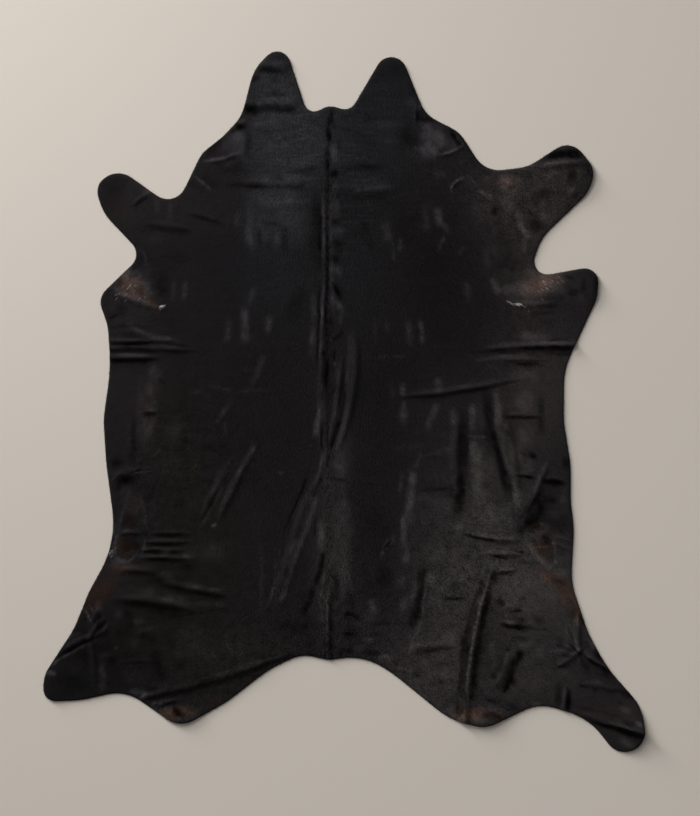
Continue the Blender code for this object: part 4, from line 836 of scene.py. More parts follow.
def beside_line(points, row, reach):
    """The points within reach of a row's bowed line: their numbers, the share of the line's
    length at the nearest place, and the distance from it."""
    line, share = bowed_line(*in_metres(*row), CREST_RUNS + 1)
    low = line.min(axis=0) - reach
    high = line.max(axis=0) + reach
    near = np.flatnonzero(((points > low) & (points < high)).all(axis=1))
    runs = np.diff(line, axis=0)
    offsets = points[near][:, None, :] - line[None, :-1, :]
    along = np.einsum("pij,ij->pi", offsets, runs) / np.einsum("ij,ij->i", runs, runs)
    along = np.clip(along, 0.0, 1.0)
    away = offsets - along[..., None] * runs
    distances = np.hypot(away[..., 0], away[..., 1])
    best = np.argmin(distances, axis=1)
    each = np.arange(len(near))
    return near, share[best] + along[each, best] / CREST_RUNS, distances[each, best]


def inside_ellipse(points, x, y, length, breadth, turn):
    """The points inside an ellipse, as their numbers, and how far out each one is: 0 at the
    centre and 1 on the rim.  The five values are a row's, in millimetres and degrees."""
    angle = math.radians(turn)
    away = points - (np.array([x, y]) * MM + TABLE_SHIFT)
    lengthwise = (away @ np.array([math.cos(angle), math.sin(angle)])) / (length * MM)
    sidewise = (away @ np.array([-math.sin(angle), math.cos(angle)])) / (breadth * MM)
    out = np.hypot(lengthwise, sidewise)
    near = np.flatnonzero(out < 1.0)
    return near, out[near]


def full_core(out):
    """1 up to PATCH_CORE of the way out from the middle, and from there eased out to 0."""
    return eased((1.0 - out) / (1.0 - PATCH_CORE))


def tapered(share):
    """1 along the middle of a strip and eased out to 0 at both of its ends."""
    return eased(share / STREAK_TAPER) * eased((1.0 - share) / STREAK_TAPER)


# ---------------------------------------------------------------- height of the sheet

def fold_strength(fold, share):
    """How full a fold is at a share of its length, easing up from each end."""
    *_, start_share, end_share = fold
    rise = start_share + (1.0 - start_share) * eased(share / TAPER_SHARE)
    fall = end_share + (1.0 - end_share) * eased((1.0 - share) / TAPER_SHARE)
    return rise * fall


def fold_width(fold, share):
    """Distance from a fold's crest to its foot, narrower where the fold dies out."""
    *_, width, _, _, _ = fold
    strength = fold_strength(fold, share)
    return width * MM * (TIP_WIDTH_SHARE + (1.0 - TIP_WIDTH_SHARE) * strength)


def floor_gap(points):
    """Height of the sheet's underside over the floor.  Each fold adds its height times its
    strength times a soft hump of the distance from its crest, each swell adds a soft hump
    over its ellipse, and the slow waves add the upper half of a sine each."""
    gap = np.zeros(len(points))
    for fold in FOLDS + CREASES:
        _, *line, width, height, _, _ = fold
        near, share, distance = beside_line(points, line, width * MM)
        strength = fold_strength(fold, share)
        gap[near] += height * MM * strength * soft_hump(distance / fold_width(fold, share))
    for _, *place, height in SWELLS:
        near, out = inside_ellipse(points, *place)
        gap[near] += height * MM * soft_hump(out)
    for length, heading, height in SLOW_WAVES:
        angle = math.radians(heading)
        run = points @ np.array([math.cos(angle), math.sin(angle)]) / (length * MM)
        gap += height * MM * eased(0.5 + 0.5 * np.sin(2.0 * math.pi * run))
    return gap


# ---------------------------------------------------------------- rim and points

def solid_rim(node):
    """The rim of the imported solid, clockwise seen from above: the edges that belong to just
    one of its upper faces, chained end to end."""
    mesh = node.data
    corners = np.empty(len(mesh.vertices) * 3)
    mesh.vertices.foreach_get("co", corners)
    mesh.calc_loop_triangles()
    faces = np.empty(len(mesh.loop_triangles) * 3, dtype=np.int32)
    mesh.loop_triangles.foreach_get("vertices", faces)
    spots, number = np.unique(np.round(corners.reshape(-1, 3), CORNER_DIGITS), axis=0,
                              return_inverse=True)
    faces = number.reshape(-1)[faces.reshape(-1, 3)]
    a, b, c = (spots[faces[:, i]] for i in range(3))
    upward = np.cross(b - a, c - a)
    upper = faces[upward[:, 2] > UPPER_FACE * np.linalg.norm(upward, axis=1)]
    edges = np.vstack([upper[:, [0, 1]], upper[:, [1, 2]], upper[:, [2, 0]]])
    there = {(int(i), int(j)) for i, j in edges}
    following = {i: j for i, j in there if (j, i) not in there}
    first = min(following)
    chain = [first]
    while following[chain[-1]] != first:
        chain.append(following[chain[-1]])
    return spots[chain[::-1], :2]


def smooth_rim(rim, step):
    """A closed Catmull-Rom curve through the rim's points, cut to even steps: between two
    points p1 and p2 with neighbours p0 and p3 it is 0.5 (2 p1 + (p2 - p0) t
    + (2 p0 - 5 p1 + 4 p2 - p3) t^2 + (3 p1 - p0 - 3 p2 + p3) t^3)."""
    before, here, after, next_on = (np.roll(rim, shift, axis=0) for shift in (1, 0, -1, -2))
    t = np.arange(RIM_CUTS)[None, :, None] / RIM_CUTS
    p0, p1, p2, p3 = (part[:, None, :] for part in (before, here, after, next_on))
    curve = 0.5 * (2.0 * p1 + (p2 - p0) * t + (2.0 * p0 - 5.0 * p1 + 4.0 * p2 - p3) * t ** 2
                   + (3.0 * p1 - p0 - 3.0 * p2 + p3) * t ** 3)
    curve = curve.reshape(-1, 2)
    closed = np.vstack([curve, curve[:1]])
    reach = np.concatenate([[0.0], np.cumsum(np.hypot(*np.diff(closed, axis=0).T))])
    wanted = np.arange(int(reach[-1] / step)) * reach[-1] / int(reach[-1] / step)
    return np.stack([np.interp(wanted, reach, closed[:, axis]) for axis in (0, 1)], axis=1)


def rim_inward(rim):
    """Unit vectors that point into the hide at each point of its clockwise rim."""
    ahead = np.roll(rim, -1, axis=0) - np.roll(rim, 1, axis=0)
    ahead /= np.hypot(ahead[:, 0], ahead[:, 1])[:, None]
    return np.stack([ahead[:, 1], -ahead[:, 0]], axis=1)


def depth_inside(points, rim):
    """Distance of each point from the rim, positive inside.  The side comes from a count of
    how often a line towards +X crosses the rim."""
    ends = np.roll(rim, -1, axis=0)
    runs = ends - rim
    squares = np.einsum("ij,ij->i", runs, runs)
    slope = runs[:, 0] / (runs[:, 1] + 1e-12)   # never over nothing, on a level run
    depth = np.empty(len(points))
    for first in range(0, len(points), POINTS_AT_ONCE):
        part = points[first:first + POINTS_AT_ONCE]
        x, y = part[:, :1], part[:, 1:]
        offset_x = x - rim[:, 0]
        offset_y = y - rim[:, 1]
        along = np.clip((offset_x * runs[:, 0] + offset_y * runs[:, 1]) / squares, 0.0, 1.0)
        distance = np.hypot(offset_x - along * runs[:, 0],
                            offset_y - along * runs[:, 1]).min(axis=1)
        straddles = (rim[:, 1] > y) != (ends[:, 1] > y)
        crossings = (straddles & (x < rim[:, 0] + offset_y * slope)).sum(axis=1)
        inside = crossings % 2 == 1
        depth[first:first + POINTS_AT_ONCE] = np.where(inside, distance, -distance)
    return depth


def shaken_grid(rim, step, random):
    """A grid in staggered rows over the rim's box, each point shaken a little."""
    low = rim.min(axis=0)
    high = rim.max(axis=0)
    xs = np.arange(low[0], high[0], step)
    ys = np.arange(low[1], high[1], step * GRID_ROWS)
    x, y = np.meshgrid(xs, ys)
    x = x + 0.5 * step * (np.arange(len(ys)) % 2)[:, None]
    grid = np.stack([x.ravel(), y.ravel()], axis=1)
    return grid + random.uniform(-GRID_SHAKE, GRID_SHAKE, grid.shape) * step


def fold_rows(fold, station):
    """Rows of points along a fold: along its crest and at shares of its width on both
    sides."""
    _, *line, _, _, _, _ = fold
    start, end, bow = in_metres(*line)
    count = 2 + int(np.hypot(*(end - start)) / station)
    line, share = bowed_line(start, end, bow, count)
    ahead = np.gradient(line, axis=0)
    ahead /= np.hypot(ahead[:, 0], ahead[:, 1])[:, None]
    left = np.stack([-ahead[:, 1], ahead[:, 0]], axis=1) * fold_width(fold, share)[:, None]
    return np.vstack([line + part * left for part in ROW_SHARES])


def one_per_square(points, gap):
    """The points, in their order, without those that share a square of the gap's size with
    a point before them."""
    squares = np.floor(points / gap).astype(np.int64)
    _, first = np.unique(squares, axis=0, return_index=True)
    return points[np.sort(first)]


def clear_of(points, fixed, gap):
    """The points whose square of the gap's size, and the eight round it, hold none of the
    fixed points."""
    low = np.minimum(points.min(axis=0), fixed.min(axis=0)) - 2.0 * gap
    high = np.maximum(points.max(axis=0), fixed.max(axis=0)) + 2.0 * gap
    held = np.zeros(np.ceil((high - low) / gap).astype(int) + 1, dtype=bool)
    held[tuple(((fixed - low) / gap).astype(int).T)] = True
    for axis in (0, 1):
        held |= np.roll(held, 1, axis=axis) | np.roll(held, -1, axis=axis)
    return points[~held[tuple(((points - low) / gap).astype(int).T)]]


def sheet_triangles(rim, inner):
    """Delaunay triangles over the rim and the points inside it, with nothing outside the
    rim.  The rim's points come first in the result."""
    count = len(rim)
    edges = [(i, (i + 1) % count) for i in range(count)]
    points = [Vector(point) for point in np.vstack([rim, inner])]
    cut = delaunay_2d_cdt(points, edges, [], KEEP_INSIDE, CUT_TOLERANCE)
    return np.array([tuple(point) for point in cut[0]]), np.array(cut[2])


def detail_points(rim, random):
    """Points of a fine grid where the coat's level changes by more than DETAIL_SLOPE."""
    low = rim.min(axis=0)
    high = rim.max(axis=0)
    xs = np.arange(low[0], high[0], DETAIL_STEP)
    ys = np.arange(low[1], high[1], DETAIL_STEP)
    grid = np.stack(np.meshgrid(xs, ys), axis=-1)
    level = coat_level_with_painted_light(grid.reshape(-1, 2)).reshape(grid.shape[:2])
    slope = np.hypot(*np.gradient(level, DETAIL_STEP))
    fine = grid[slope > DETAIL_SLOPE]
    return fine + random.uniform(-GRID_SHAKE, GRID_SHAKE, fine.shape) * DETAIL_STEP


def upper_points(rim, random):
    """Points of the coat inside the rim: rows along the rim, rows along every fold and
    crease, then fine points where the coat's level changes fast, then a shaken grid where
    these leave room."""
    inward = rim_inward(rim)
    rows = np.vstack([rim + step * inward for step in RIM_ROWS])
    folds = np.vstack([fold_rows(fold, ROW_STATION) for fold in FOLDS + CREASES])
    folds = folds[depth_inside(folds, rim) > RIM_ROWS[-1] + POINT_GAP]
    folds = one_per_square(folds, POINT_GAP)
    fixed = np.vstack([rows, folds])
    fine = clear_of(detail_points(rim, random), fixed, FINE_GAP)
    fine = fine[depth_inside(fine, rim) > RIM_ROWS[-1] + FINE_RIM_GAP]
    grid = clear_of(shaken_grid(rim, GRID_STEP, random), np.vstack([fixed, fine]), POINT_GAP)
    grid = grid[depth_inside(grid, rim) > RIM_ROWS[-1] + GRID_RIM_GAP]
    return np.vstack([rows, folds, fine, grid])


def under_points(rim, random):
    """Points of the underside inside the rim, fewer than the coat's."""
    folds = np.vstack([fold_rows(fold, UNDER_STEP) for fold in FOLDS])
    folds = one_per_square(folds, UNDER_ROW_GAP)
    grid = clear_of(shaken_grid(rim, UNDER_STEP, random), folds, UNDER_GRID_GAP)
    points = np.vstack([folds, grid])
    return points[depth_inside(points, rim) > UNDER_RIM_GAP]


# ---------------------------------------------------------------- colour of the coat

def display_to_light(level):
    """The light that a level of the 0 to 255 display scale stands for."""
    return (level / DISPLAY_TOP) ** DISPLAY_POWER


def soft_noise(places, key):
    """Smooth noise from -1 to 1: a square lattice of one unit with a seeded number at each
    corner, eased from corner to corner."""
    numbers = np.random.default_rng(key).uniform(-1.0, 1.0, (NOISE_LATTICE, NOISE_LATTICE))
    corner = np.floor(places).astype(int)
    share = eased(places - corner)
    left, low = corner[:, 0] % NOISE_LATTICE, corner[:, 1] % NOISE_LATTICE
    right, high = (left + 1) % NOISE_LATTICE, (low + 1) % NOISE_LATTICE
    under = numbers[left, low] + share[:, 0] * (numbers[right, low] - numbers[left, low])
    over = numbers[left, high] + share[:, 0] * (numbers[right, high] - numbers[left, high])
    return under + share[:, 1] * (over - under)


def hair_lay(points):
    """Heading of the hair at each point, in radians from -Y towards +X.  It runs back along
    the spine and turns outwards with the distance from it, to LAY_TURN at the belly."""
    out = points[:, 0] - (SPINE_X + TABLE_SHIFT[0])
    return np.sign(out) * math.radians(LAY_TURN) * eased(np.abs(out) / LAY_REACH)


def drawn_out(points):
    """The points moved along the hair by smooth noise that is long along it and short
    across it, which draws what is laid over them into locks, and moved a little every way
    by slower noise."""
    lay = hair_lay(points)
    along = np.column_stack([np.sin(lay), -np.cos(lay)])
    across = np.column_stack([np.cos(lay), np.sin(lay)])
    places = np.column_stack([(points * across).sum(axis=1) / LOCK_BREADTH,
                              (points * along).sum(axis=1) / LOCK_LENGTH])
    seed, fine_seed = LOCK_SEEDS
    finer, fine_share = FINE_LOCKS
    pull = soft_noise(places, seed) + fine_share * soft_noise(places * finer, fine_seed)
    places = points / WANDER_LENGTH
    wander = np.column_stack([soft_noise(places, seed) for seed in WANDER_SEEDS])
    return points + along * (pull * LOCK_PULL)[:, None] + wander * WANDER


def coat_level_with_painted_light(points):
    """The coat's level, its own tone together with painted sheen, highlights and shade: the base
    level, plus each broad part's level times a soft hump over its ellipse, plus each patch's
    and streak's level times a profile that is full in its core and eases out to its edge.
    Two noises make the patches and streaks ragged.  The sum is then led from LEVELS_IN to
    LEVELS_OUT, which draws its dark and its bright end in."""
    broad = np.full(len(points), BASE_LEVEL)
    level = np.zeros(len(points))
    for _, *place, amount, _, _ in BROAD_TONE_AND_PAINTED_LIGHT:
        near, out = inside_ellipse(points, *place)
        broad[near] += amount * soft_hump(out)
    for *place, amount in TONE_AND_PAINTED_LIGHT_PATCHES:
        near, out = inside_ellipse(points, *place)
        level[near] += amount * full_core(out)
    reach = STREAK_SPREAD * MM
    for *line, first_half, last_half, amount in TONE_AND_PAINTED_LIGHT_STREAKS:
        near, share, distance = beside_line(points, line, max(first_half, last_half) * reach)
        half = (first_half + (last_half - first_half) * share) * reach
        level[near] += amount * tapered(share) * full_core(distance / half)
    ragged = sum(share * soft_noise(points / (length * MM), seed)
                 for seed, (length, share) in zip(RAGGED_SEEDS, RAGGED_NOISES))
    return np.interp(broad + level * (1.0 + ragged), LEVELS_IN, LEVELS_OUT)


def broad_share(points, parts):
    """The sum of each part's share times a soft hump over its ellipse, at most 1."""
    total = np.zeros(len(points))
    for *place, share in parts:
        near, out = inside_ellipse(points, *place)
        total[near] += share * soft_hump(out)
    return np.minimum(total, 1.0)


def coat_colours(points):
    """Eight numbers for each point of the coat: its shade, which is the light of its level with
    the painted sheen and shade in it, the warmth and the olive share of its hue, how uneven
    its hair is and how far painted wrinkle shade lies on it, and its shares of brown, tan
    and white hair."""
    points = drawn_out(points)
    warmth = np.zeros(len(points))
    olive = np.zeros(len(points))
    for _, *place, _, warm, green in BROAD_TONE_AND_PAINTED_LIGHT:
        near, out = inside_ellipse(points, *place)
        warmth[near] += warm * soft_hump(out)
        olive[near] += green * soft_hump(out)
    brown, tan, white = (np.zeros(len(points)) for _ in range(3))
    for *place, brown_share, tan_share in BROWN_PATCHES:
        near, out = inside_ellipse(points, *place)
        cover = full_core(out)
        brown[near] = np.maximum(brown[near], brown_share * cover)
        tan[near] = np.maximum(tan[near], tan_share * cover)
    for *line, half, white_share in WHITE_STRIPS:
        near, share, distance = beside_line(points, line, half * MM)
        cover = white_share * tapered(share) * soft_hump(distance / (half * MM))
        white[near] = np.maximum(white[near], cover)
    shade = display_to_light(coat_level_with_painted_light(points)) * LEVEL_GAIN
    return (shade, np.clip(warmth, -1.0, 1.0), np.clip(olive, 0.0, 1.0),
            GRAIN_LEAST + (1.0 - GRAIN_LEAST) * broad_share(points, GRAIN_AND_GLINT_PARTS),
            broad_share(points, WRINKLE_SHADE_PARTS), brown, tan, white)


COAT_NUMBERS = ("shade", "warmth", "olive", "grain", "wrinkles", "brown", "tan", "white")


def give_coat_numbers(mesh, numbers, lay):
    """The coat's numbers and its lay, as one attribute each on the mesh's points."""
    for name, values in zip(COAT_NUMBERS + ("lay",), list(numbers) + [lay]):
        layer = mesh.attributes.new(name, "FLOAT", "POINT")
        layer.data.foreach_set("value", values.astype(np.float32))


# ---------------------------------------------------------------- node helpers

class Nodes:
    """Short calls that add nodes to a material's tree."""

    def __init__(self, name):
        self.material = bpy.data.materials.new(name)
        self.material.use_nodes = True
        self.tree = self.material.node_tree
        self.shader = self.tree.nodes["Principled BSDF"]

    def add(self, kind, **values):
        node = self.tree.nodes.new(kind)
        for name, value in values.items():
            setattr(node, name, value)
        return node

    def put(self, value, socket):
        if isinstance(value, bpy.types.NodeSocket):
            self.tree.links.new(value, socket)
        else:
            socket.default_value = value

    def math(self, operation, *values, clamp=False):
        node = self.add("ShaderNodeMath", operation=operation, use_clamp=clamp)
        for value, socket in zip(values, node.inputs):
            self.put(value, socket)
        return node.outputs[0]

    def attribute(self, name):
        return self.add("ShaderNodeAttribute", attribute_name=name).outputs["Fac"]

    def mix(self, share, first, second, blend="MIX"):
        node = self.add("ShaderNodeMix", data_type="RGBA", blend_type=blend)
        self.put(share, node.inputs[0])
        self.put(first, node.inputs[6])
        self.put(second, node.inputs[7])
        return node.outputs[2]

    def times(self, first, second):
        return self.mix(1.0, first, second, "MULTIPLY")

    def grey(self, value):
        node = self.add("ShaderNodeCombineColor")
        for socket in node.inputs:
            self.put(value, socket)
        return node.outputs[0]

    def noise(self, place, scale, detail=2.0, roughness=0.5, distortion=0.0):
        node = self.add("ShaderNodeTexNoise")
        self.put(place, node.inputs["Vector"])
        for name, value in (("Scale", scale), ("Detail", detail), ("Roughness", roughness),
                            ("Distortion", distortion)):
            node.inputs[name].default_value = value
        return node.outputs["Fac"]

    def object_place(self):
        return self.add("ShaderNodeTexCoord").outputs["Object"]

    def mapped(self, place, turn, scale):
        """place turned about Z by turn radians, then stretched by scale."""
        turned = self.add("ShaderNodeVectorRotate", rotation_type="Z_AXIS")
        self.put(place, turned.inputs["Vector"])
        turned.inputs["Angle"].default_value = turn
        stretched = self.add("ShaderNodeVectorMath", operation="MULTIPLY")
        self.put(turned.outputs[0], stretched.inputs[0])
        stretched.inputs[1].default_value = scale
        return stretched.outputs[0]

    def relief(self, height, strength, depth):
        """Low relief of the surface, as deep as depth in metres."""
        bump = self.add("ShaderNodeBump")
        bump.inputs["Strength"].default_value = strength
        bump.inputs["Distance"].default_value = depth
        self.put(height, bump.inputs["Height"])
        self.put(bump.outputs[0], self.shader.inputs["Normal"])

    def finish(self, colour, roughness, specular):
        self.put(colour, self.shader.inputs["Base Color"])
        self.put(roughness, self.shader.inputs["Roughness"])
        self.shader.inputs["Specular IOR Level"].default_value = specular
        return self.material


# ---------------------------------------------------------------- materials

def hair_streaks(nodes, lay, long_scale, cross_scale, detail):
    """Noise drawn out along the hair.  It is worked out for three headings, along the spine
    and LAY_TURN to each side, and mixed by the lay."""
    place = nodes.object_place()
    turn = math.radians(LAY_TURN)
    scales = (cross_scale, long_scale, STREAK_DEPTH_SCALE)
    along, left, right = (
        nodes.noise(nodes.mapped(place, -heading, scales), 1.0, detail, STREAK_ROUGHNESS,
                    STREAK_DISTORTION)
        for heading in (0.0, -turn, turn))
    outward = nodes.math("DIVIDE", lay, turn)
    to_right = nodes.math("MAXIMUM", outward, 0.0, clamp=True)
    to_left = nodes.math("MULTIPLY", outward, -1.0, clamp=True)
    mixed = along
    for share, side in ((to_right, right), (to_left, left)):
        change = nodes.math("MULTIPLY", share, nodes.math("SUBTRACT", side, along))
        mixed = nodes.math("ADD", mixed, change)
    return mixed


def coat_cover(nodes, name, streaky, firm):
    """How far a share of hair of another colour covers the coat: the share and the streaks
    together, made firmer, and nothing where the share is none."""
    share = nodes.math("ADD", nodes.attribute(name), streaky)
    over = nodes.math("MULTIPLY_ADD", share, firm, 0.5 - 0.5 * firm, clamp=True)
    there = nodes.math("MULTIPLY", nodes.attribute(name), COVER_START, clamp=True)
    return nodes.math("MULTIPLY", over, there)


def coat_shade(nodes, place, locks, hairs, grainy):
    """The coat's shade times its unevenness: 1 plus each noise about its middle times its
    contrast, and plus the painted wrinkles where there are any.  A wrinkle is a furrow of
    painted shade where its noise crosses its middle, on a soft cloud of the same noise."""
    uneven = nodes.math("MULTIPLY_ADD", locks, LOCK_CONTRAST, 1.0 - 0.5 * LOCK_CONTRAST)
    for noise, contrast, where in (
            (hairs, HAIR_CONTRAST, 1.0),
            (nodes.noise(place, *CLOUD_NOISE), CLOUD_CONTRAST, 1.0),
            (nodes.noise(place, *GRAIN_NOISE), GRAIN_CONTRAST, grainy),
            (nodes.noise(place, *MOTTLE_NOISE), MOTTLE_CONTRAST, grainy)):
        part = nodes.math("MULTIPLY_ADD", noise, contrast, -0.5 * contrast)
        uneven = nodes.math("MULTIPLY_ADD", part, where, uneven)
    across = nodes.noise(nodes.mapped(place, WRINKLE_TURN, WRINKLE_SCALES), *WRINKLE_NOISE)
    furrow = nodes.math("ABSOLUTE", nodes.math("MULTIPLY_ADD", across, 2.0, -1.0))
    furrow = nodes.math("POWER", nodes.math("SUBTRACT", 1.0, furrow), FURROW_POWER)
    cloud = nodes.math("MULTIPLY_ADD", across, WRINKLE_CONTRAST, -0.5 * WRINKLE_CONTRAST)
    wrinkle = nodes.math("MULTIPLY_ADD", furrow, -FURROW_SHADE_DEPTH, cloud)
    uneven = nodes.math("MULTIPLY_ADD", wrinkle, nodes.attribute("wrinkles"), uneven)
    return nodes.math("MULTIPLY", nodes.attribute("shade"),
                      nodes.math("MAXIMUM", uneven, LEAST_SHADE))


def coat_tint(nodes, place, grainy):
    """The coat's hue: plain, and warm, cool or olive by its numbers.  Flecks of hair lean to
    the warm or to the olive where the coat is grainy."""
    fleck = nodes.math("MULTIPLY_ADD", nodes.noise(place, *FLECK_NOISE),
                       FLECK_TURN, -0.5 * FLECK_TURN)
    warmth = nodes.math("MULTIPLY_ADD", fleck, grainy, nodes.attribute("warmth"))
    green = nodes.math("MULTIPLY", nodes.math("MULTIPLY", fleck, grainy), -1.0)
    olive = nodes.math("ADD", nodes.attribute("olive"), green, clamp=True)
    tint = nodes.mix(nodes.math("MAXIMUM", warmth, 0.0, clamp=True), PLAIN_TINT, WARM_TINT)
    cool = nodes.math("MULTIPLY", nodes.attribute("warmth"), -1.0, clamp=True)
    return nodes.mix(olive, nodes.mix(cool, tint, COOL_TINT), OLIVE_TINT)


def coat_material(name, bump):
    """Short black hair.  Its shade, which carries painted sheen and shade, and its hue come from
    the coat's numbers, broken up along the lay of the hair, and brown, tan and white hairs
    come in where their share is over a streaky threshold."""
    nodes = Nodes(name)
    lay = nodes.attribute("lay")
    locks = hair_streaks(nodes, lay, *LOCK_STREAKS)
    hairs = hair_streaks(nodes, lay, *HAIR_STREAKS)
    place = nodes.object_place()
    grainy = nodes.attribute("grain")
    grey = nodes.grey(coat_shade(nodes, place, locks, hairs, grainy))
    colour = nodes.times(grey, coat_tint(nodes, place, grainy))

    streaky = nodes.math("ADD", nodes.math("MULTIPLY", locks, STREAKY_LOCKS),
                         nodes.math("MULTIPLY", hairs, STREAKY_HAIRS))
    streaky = nodes.math("SUBTRACT", streaky, STREAKY_MIDDLE)
    for kind, firm, hair in (("brown", BROWN_FIRMNESS, nodes.times(grey, BROWN_TINT)),
                             ("tan", BROWN_FIRMNESS, nodes.times(grey, TAN_TINT)),
                             ("white", WHITE_FIRMNESS, WHITE_HAIR)):
        colour = nodes.mix(coat_cover(nodes, kind, streaky, firm), colour, hair)
    if bump:
        height = nodes.math("ADD", nodes.math("MULTIPLY", locks, RELIEF_OF_LOCKS),
                            nodes.math("MULTIPLY", hairs, RELIEF_OF_HAIRS))
        nodes.relief(height, *COAT_RELIEF)
    rough = nodes.math("MULTIPLY_ADD", locks, -SHINY_LOCKS, COAT_ROUGHNESS)
    return nodes.finish(colour, rough, COAT_SPECULAR)


def suede_material():
    """The flesh side of the skin: greige suede with short fibres and faint clouds."""
    nodes = Nodes("suede flesh side")
    place = nodes.object_place()
    clouds = nodes.noise(place, *SUEDE_CLOUDS)
    fibres = nodes.noise(place, *SUEDE_FIBRES)
    share = nodes.math("ADD", nodes.math("MULTIPLY", clouds, SHARE_OF_CLOUDS),
                       nodes.math("MULTIPLY", fibres, SHARE_OF_FIBRES), clamp=True)
    nodes.relief(fibres, *SUEDE_RELIEF)
    return nodes.finish(nodes.mix(share, SUEDE_DARK, SUEDE_LIGHT), *SUEDE_FINISH)


def floor_material():
    """Pale warm matt floor."""
    return Nodes("pale floor").finish(FLOOR_COLOUR, *FLOOR_FINISH)


# ---------------------------------------------------------------- meshes

def give_map(mesh, corners):
    """The place on the map of each corner of each triangle."""
    layer = mesh.uv_layers.new(name="OFBake")
    layer.data.foreach_set("uv", corners.astype(np.float32).ravel())


def mesh_object(name, points, triangles, materials):
    """A new object of triangles with its place in its mesh."""
    mesh = bpy.data.meshes.new(name)
    mesh.vertices.add(len(points))
    mesh.vertices.foreach_set("co", points.astype(np.float32).ravel())
    mesh.loops.add(3 * len(triangles))
    mesh.loops.foreach_set("vertex_index", triangles.astype(np.int32).ravel())
    mesh.polygons.add(len(triangles))
    mesh.polygons.foreach_set("loop_start", np.arange(len(triangles), dtype=np.int32) * 3)
    mesh.update(calc_edges=True)
    mesh.polygons.foreach_set("use_smooth", np.ones(len(triangles), dtype=bool))
    for material in materials:
        mesh.materials.append(material)
    made = bpy.data.objects.new(name, mesh)
    bpy.context.collection.objects.link(made)
    return made


# ---------------------------------------------------------------- the sheet

def edge_thickness(depth):
    """Thickness of the sheet at a depth inside the rim: EDGE_SHARE of the whole at the rim,
    and the rest times a quarter circle over EDGE_ROUND."""
    out = 1.0 - np.clip(depth / EDGE_ROUND, 0.0, 1.0)
    return SHEET_THICKNESS * (EDGE_SHARE + (1.0 - EDGE_SHARE) * np.sqrt(1.0 - out ** 2))


def make_sheet(rim, random, coat, suede):
    """The hide: the coat above, the flesh side below and a low wall round the rim.  The map
    lays the coat out as seen from above, with the wall fanned out round it by WALL_ON_MAP
    and the flesh side small beside it."""
    top, upper = sheet_triangles(rim, upper_points(rim, random))
    low, under = sheet_triangles(rim, under_points(rim, random))
    depth = np.abs(depth_inside(top, rim))
    depth[:len(rim)] = 0.0
    top_height = floor_gap(top) + edge_thickness(depth)
    points = np.vstack([np.column_stack([top, top_height]),
                        np.column_stack([low, floor_gap(low)])])
    here = np.arange(len(rim))
    after = (here + 1) % len(rim)
    base = len(top)
    wall = np.vstack([np.stack([here, after, base + after], axis=1),
                      np.stack([here, base + after, base + here], axis=1)])
    triangles = np.vstack([upper, wall, base + under[:, ::-1]])
    sheet = mesh_object("hide_sheet", points, triangles, [coat, suede])
    mesh = sheet.data
    mesh.polygons.foreach_set("material_index", np.repeat(
        np.array([0, 0, 1], dtype=np.int32), [len(upper), len(wall), len(under)]))
    give_coat_numbers(mesh, coat_colours(points[:, :2]), hair_lay(points[:, :2]))

    corner = rim.min(axis=0)
    on_map = (points[:, :2] - corner + 2.0 * WALL_ON_MAP) * MAP_SCALE
    spread = on_map.copy()
    spread[base:base + len(rim)] -= rim_inward(rim) * WALL_ON_MAP * MAP_SCALE
    small = (points[:, :2] - corner) * UNDER_MAP_SCALE + UNDER_ON_MAP
    corners = np.vstack([on_map[upper.ravel()], spread[wall.ravel()],
                         small[(base + under[:, ::-1]).ravel()]])
    give_map(mesh, corners)
    return sheet


# ---------------------------------------------------------------- hair

# A hair's points are its root, the left, top and right of its middle, and its tip.
HAIR_POINTS = 5
HAIR_FACES = np.array([(0, 1, 3), (4, 3, 1), (0, 2, 1), (0, 3, 2), (4, 1, 2), (4, 2, 3)])
HAIR_ON_MAP = np.array([(0.5, 0.0), (0.0, HAIR_MIDDLE), (0.5, HAIR_MIDDLE),
                        (1.0, HAIR_MIDDLE), (0.5, 1.0)])


def within(limits, count, random):
    """count even draws between two limits."""
    return random.uniform(limits[0], limits[1], count)


def hair_headings(roots, random):
    """The lay at each root, turned by slow flows and by a draw for each hair."""
    flow = soft_noise(roots / FLOW_LENGTH, FLOW_SEED)
    own = random.normal(0.0, math.radians(HAIR_SWAY), len(roots))
    return hair_lay(roots) + math.radians(FLOW_SWAY) * flow + own


def coat_top(points):
    """Height of the coat's upper face."""
    return floor_gap(points) + SHEET_THICKNESS


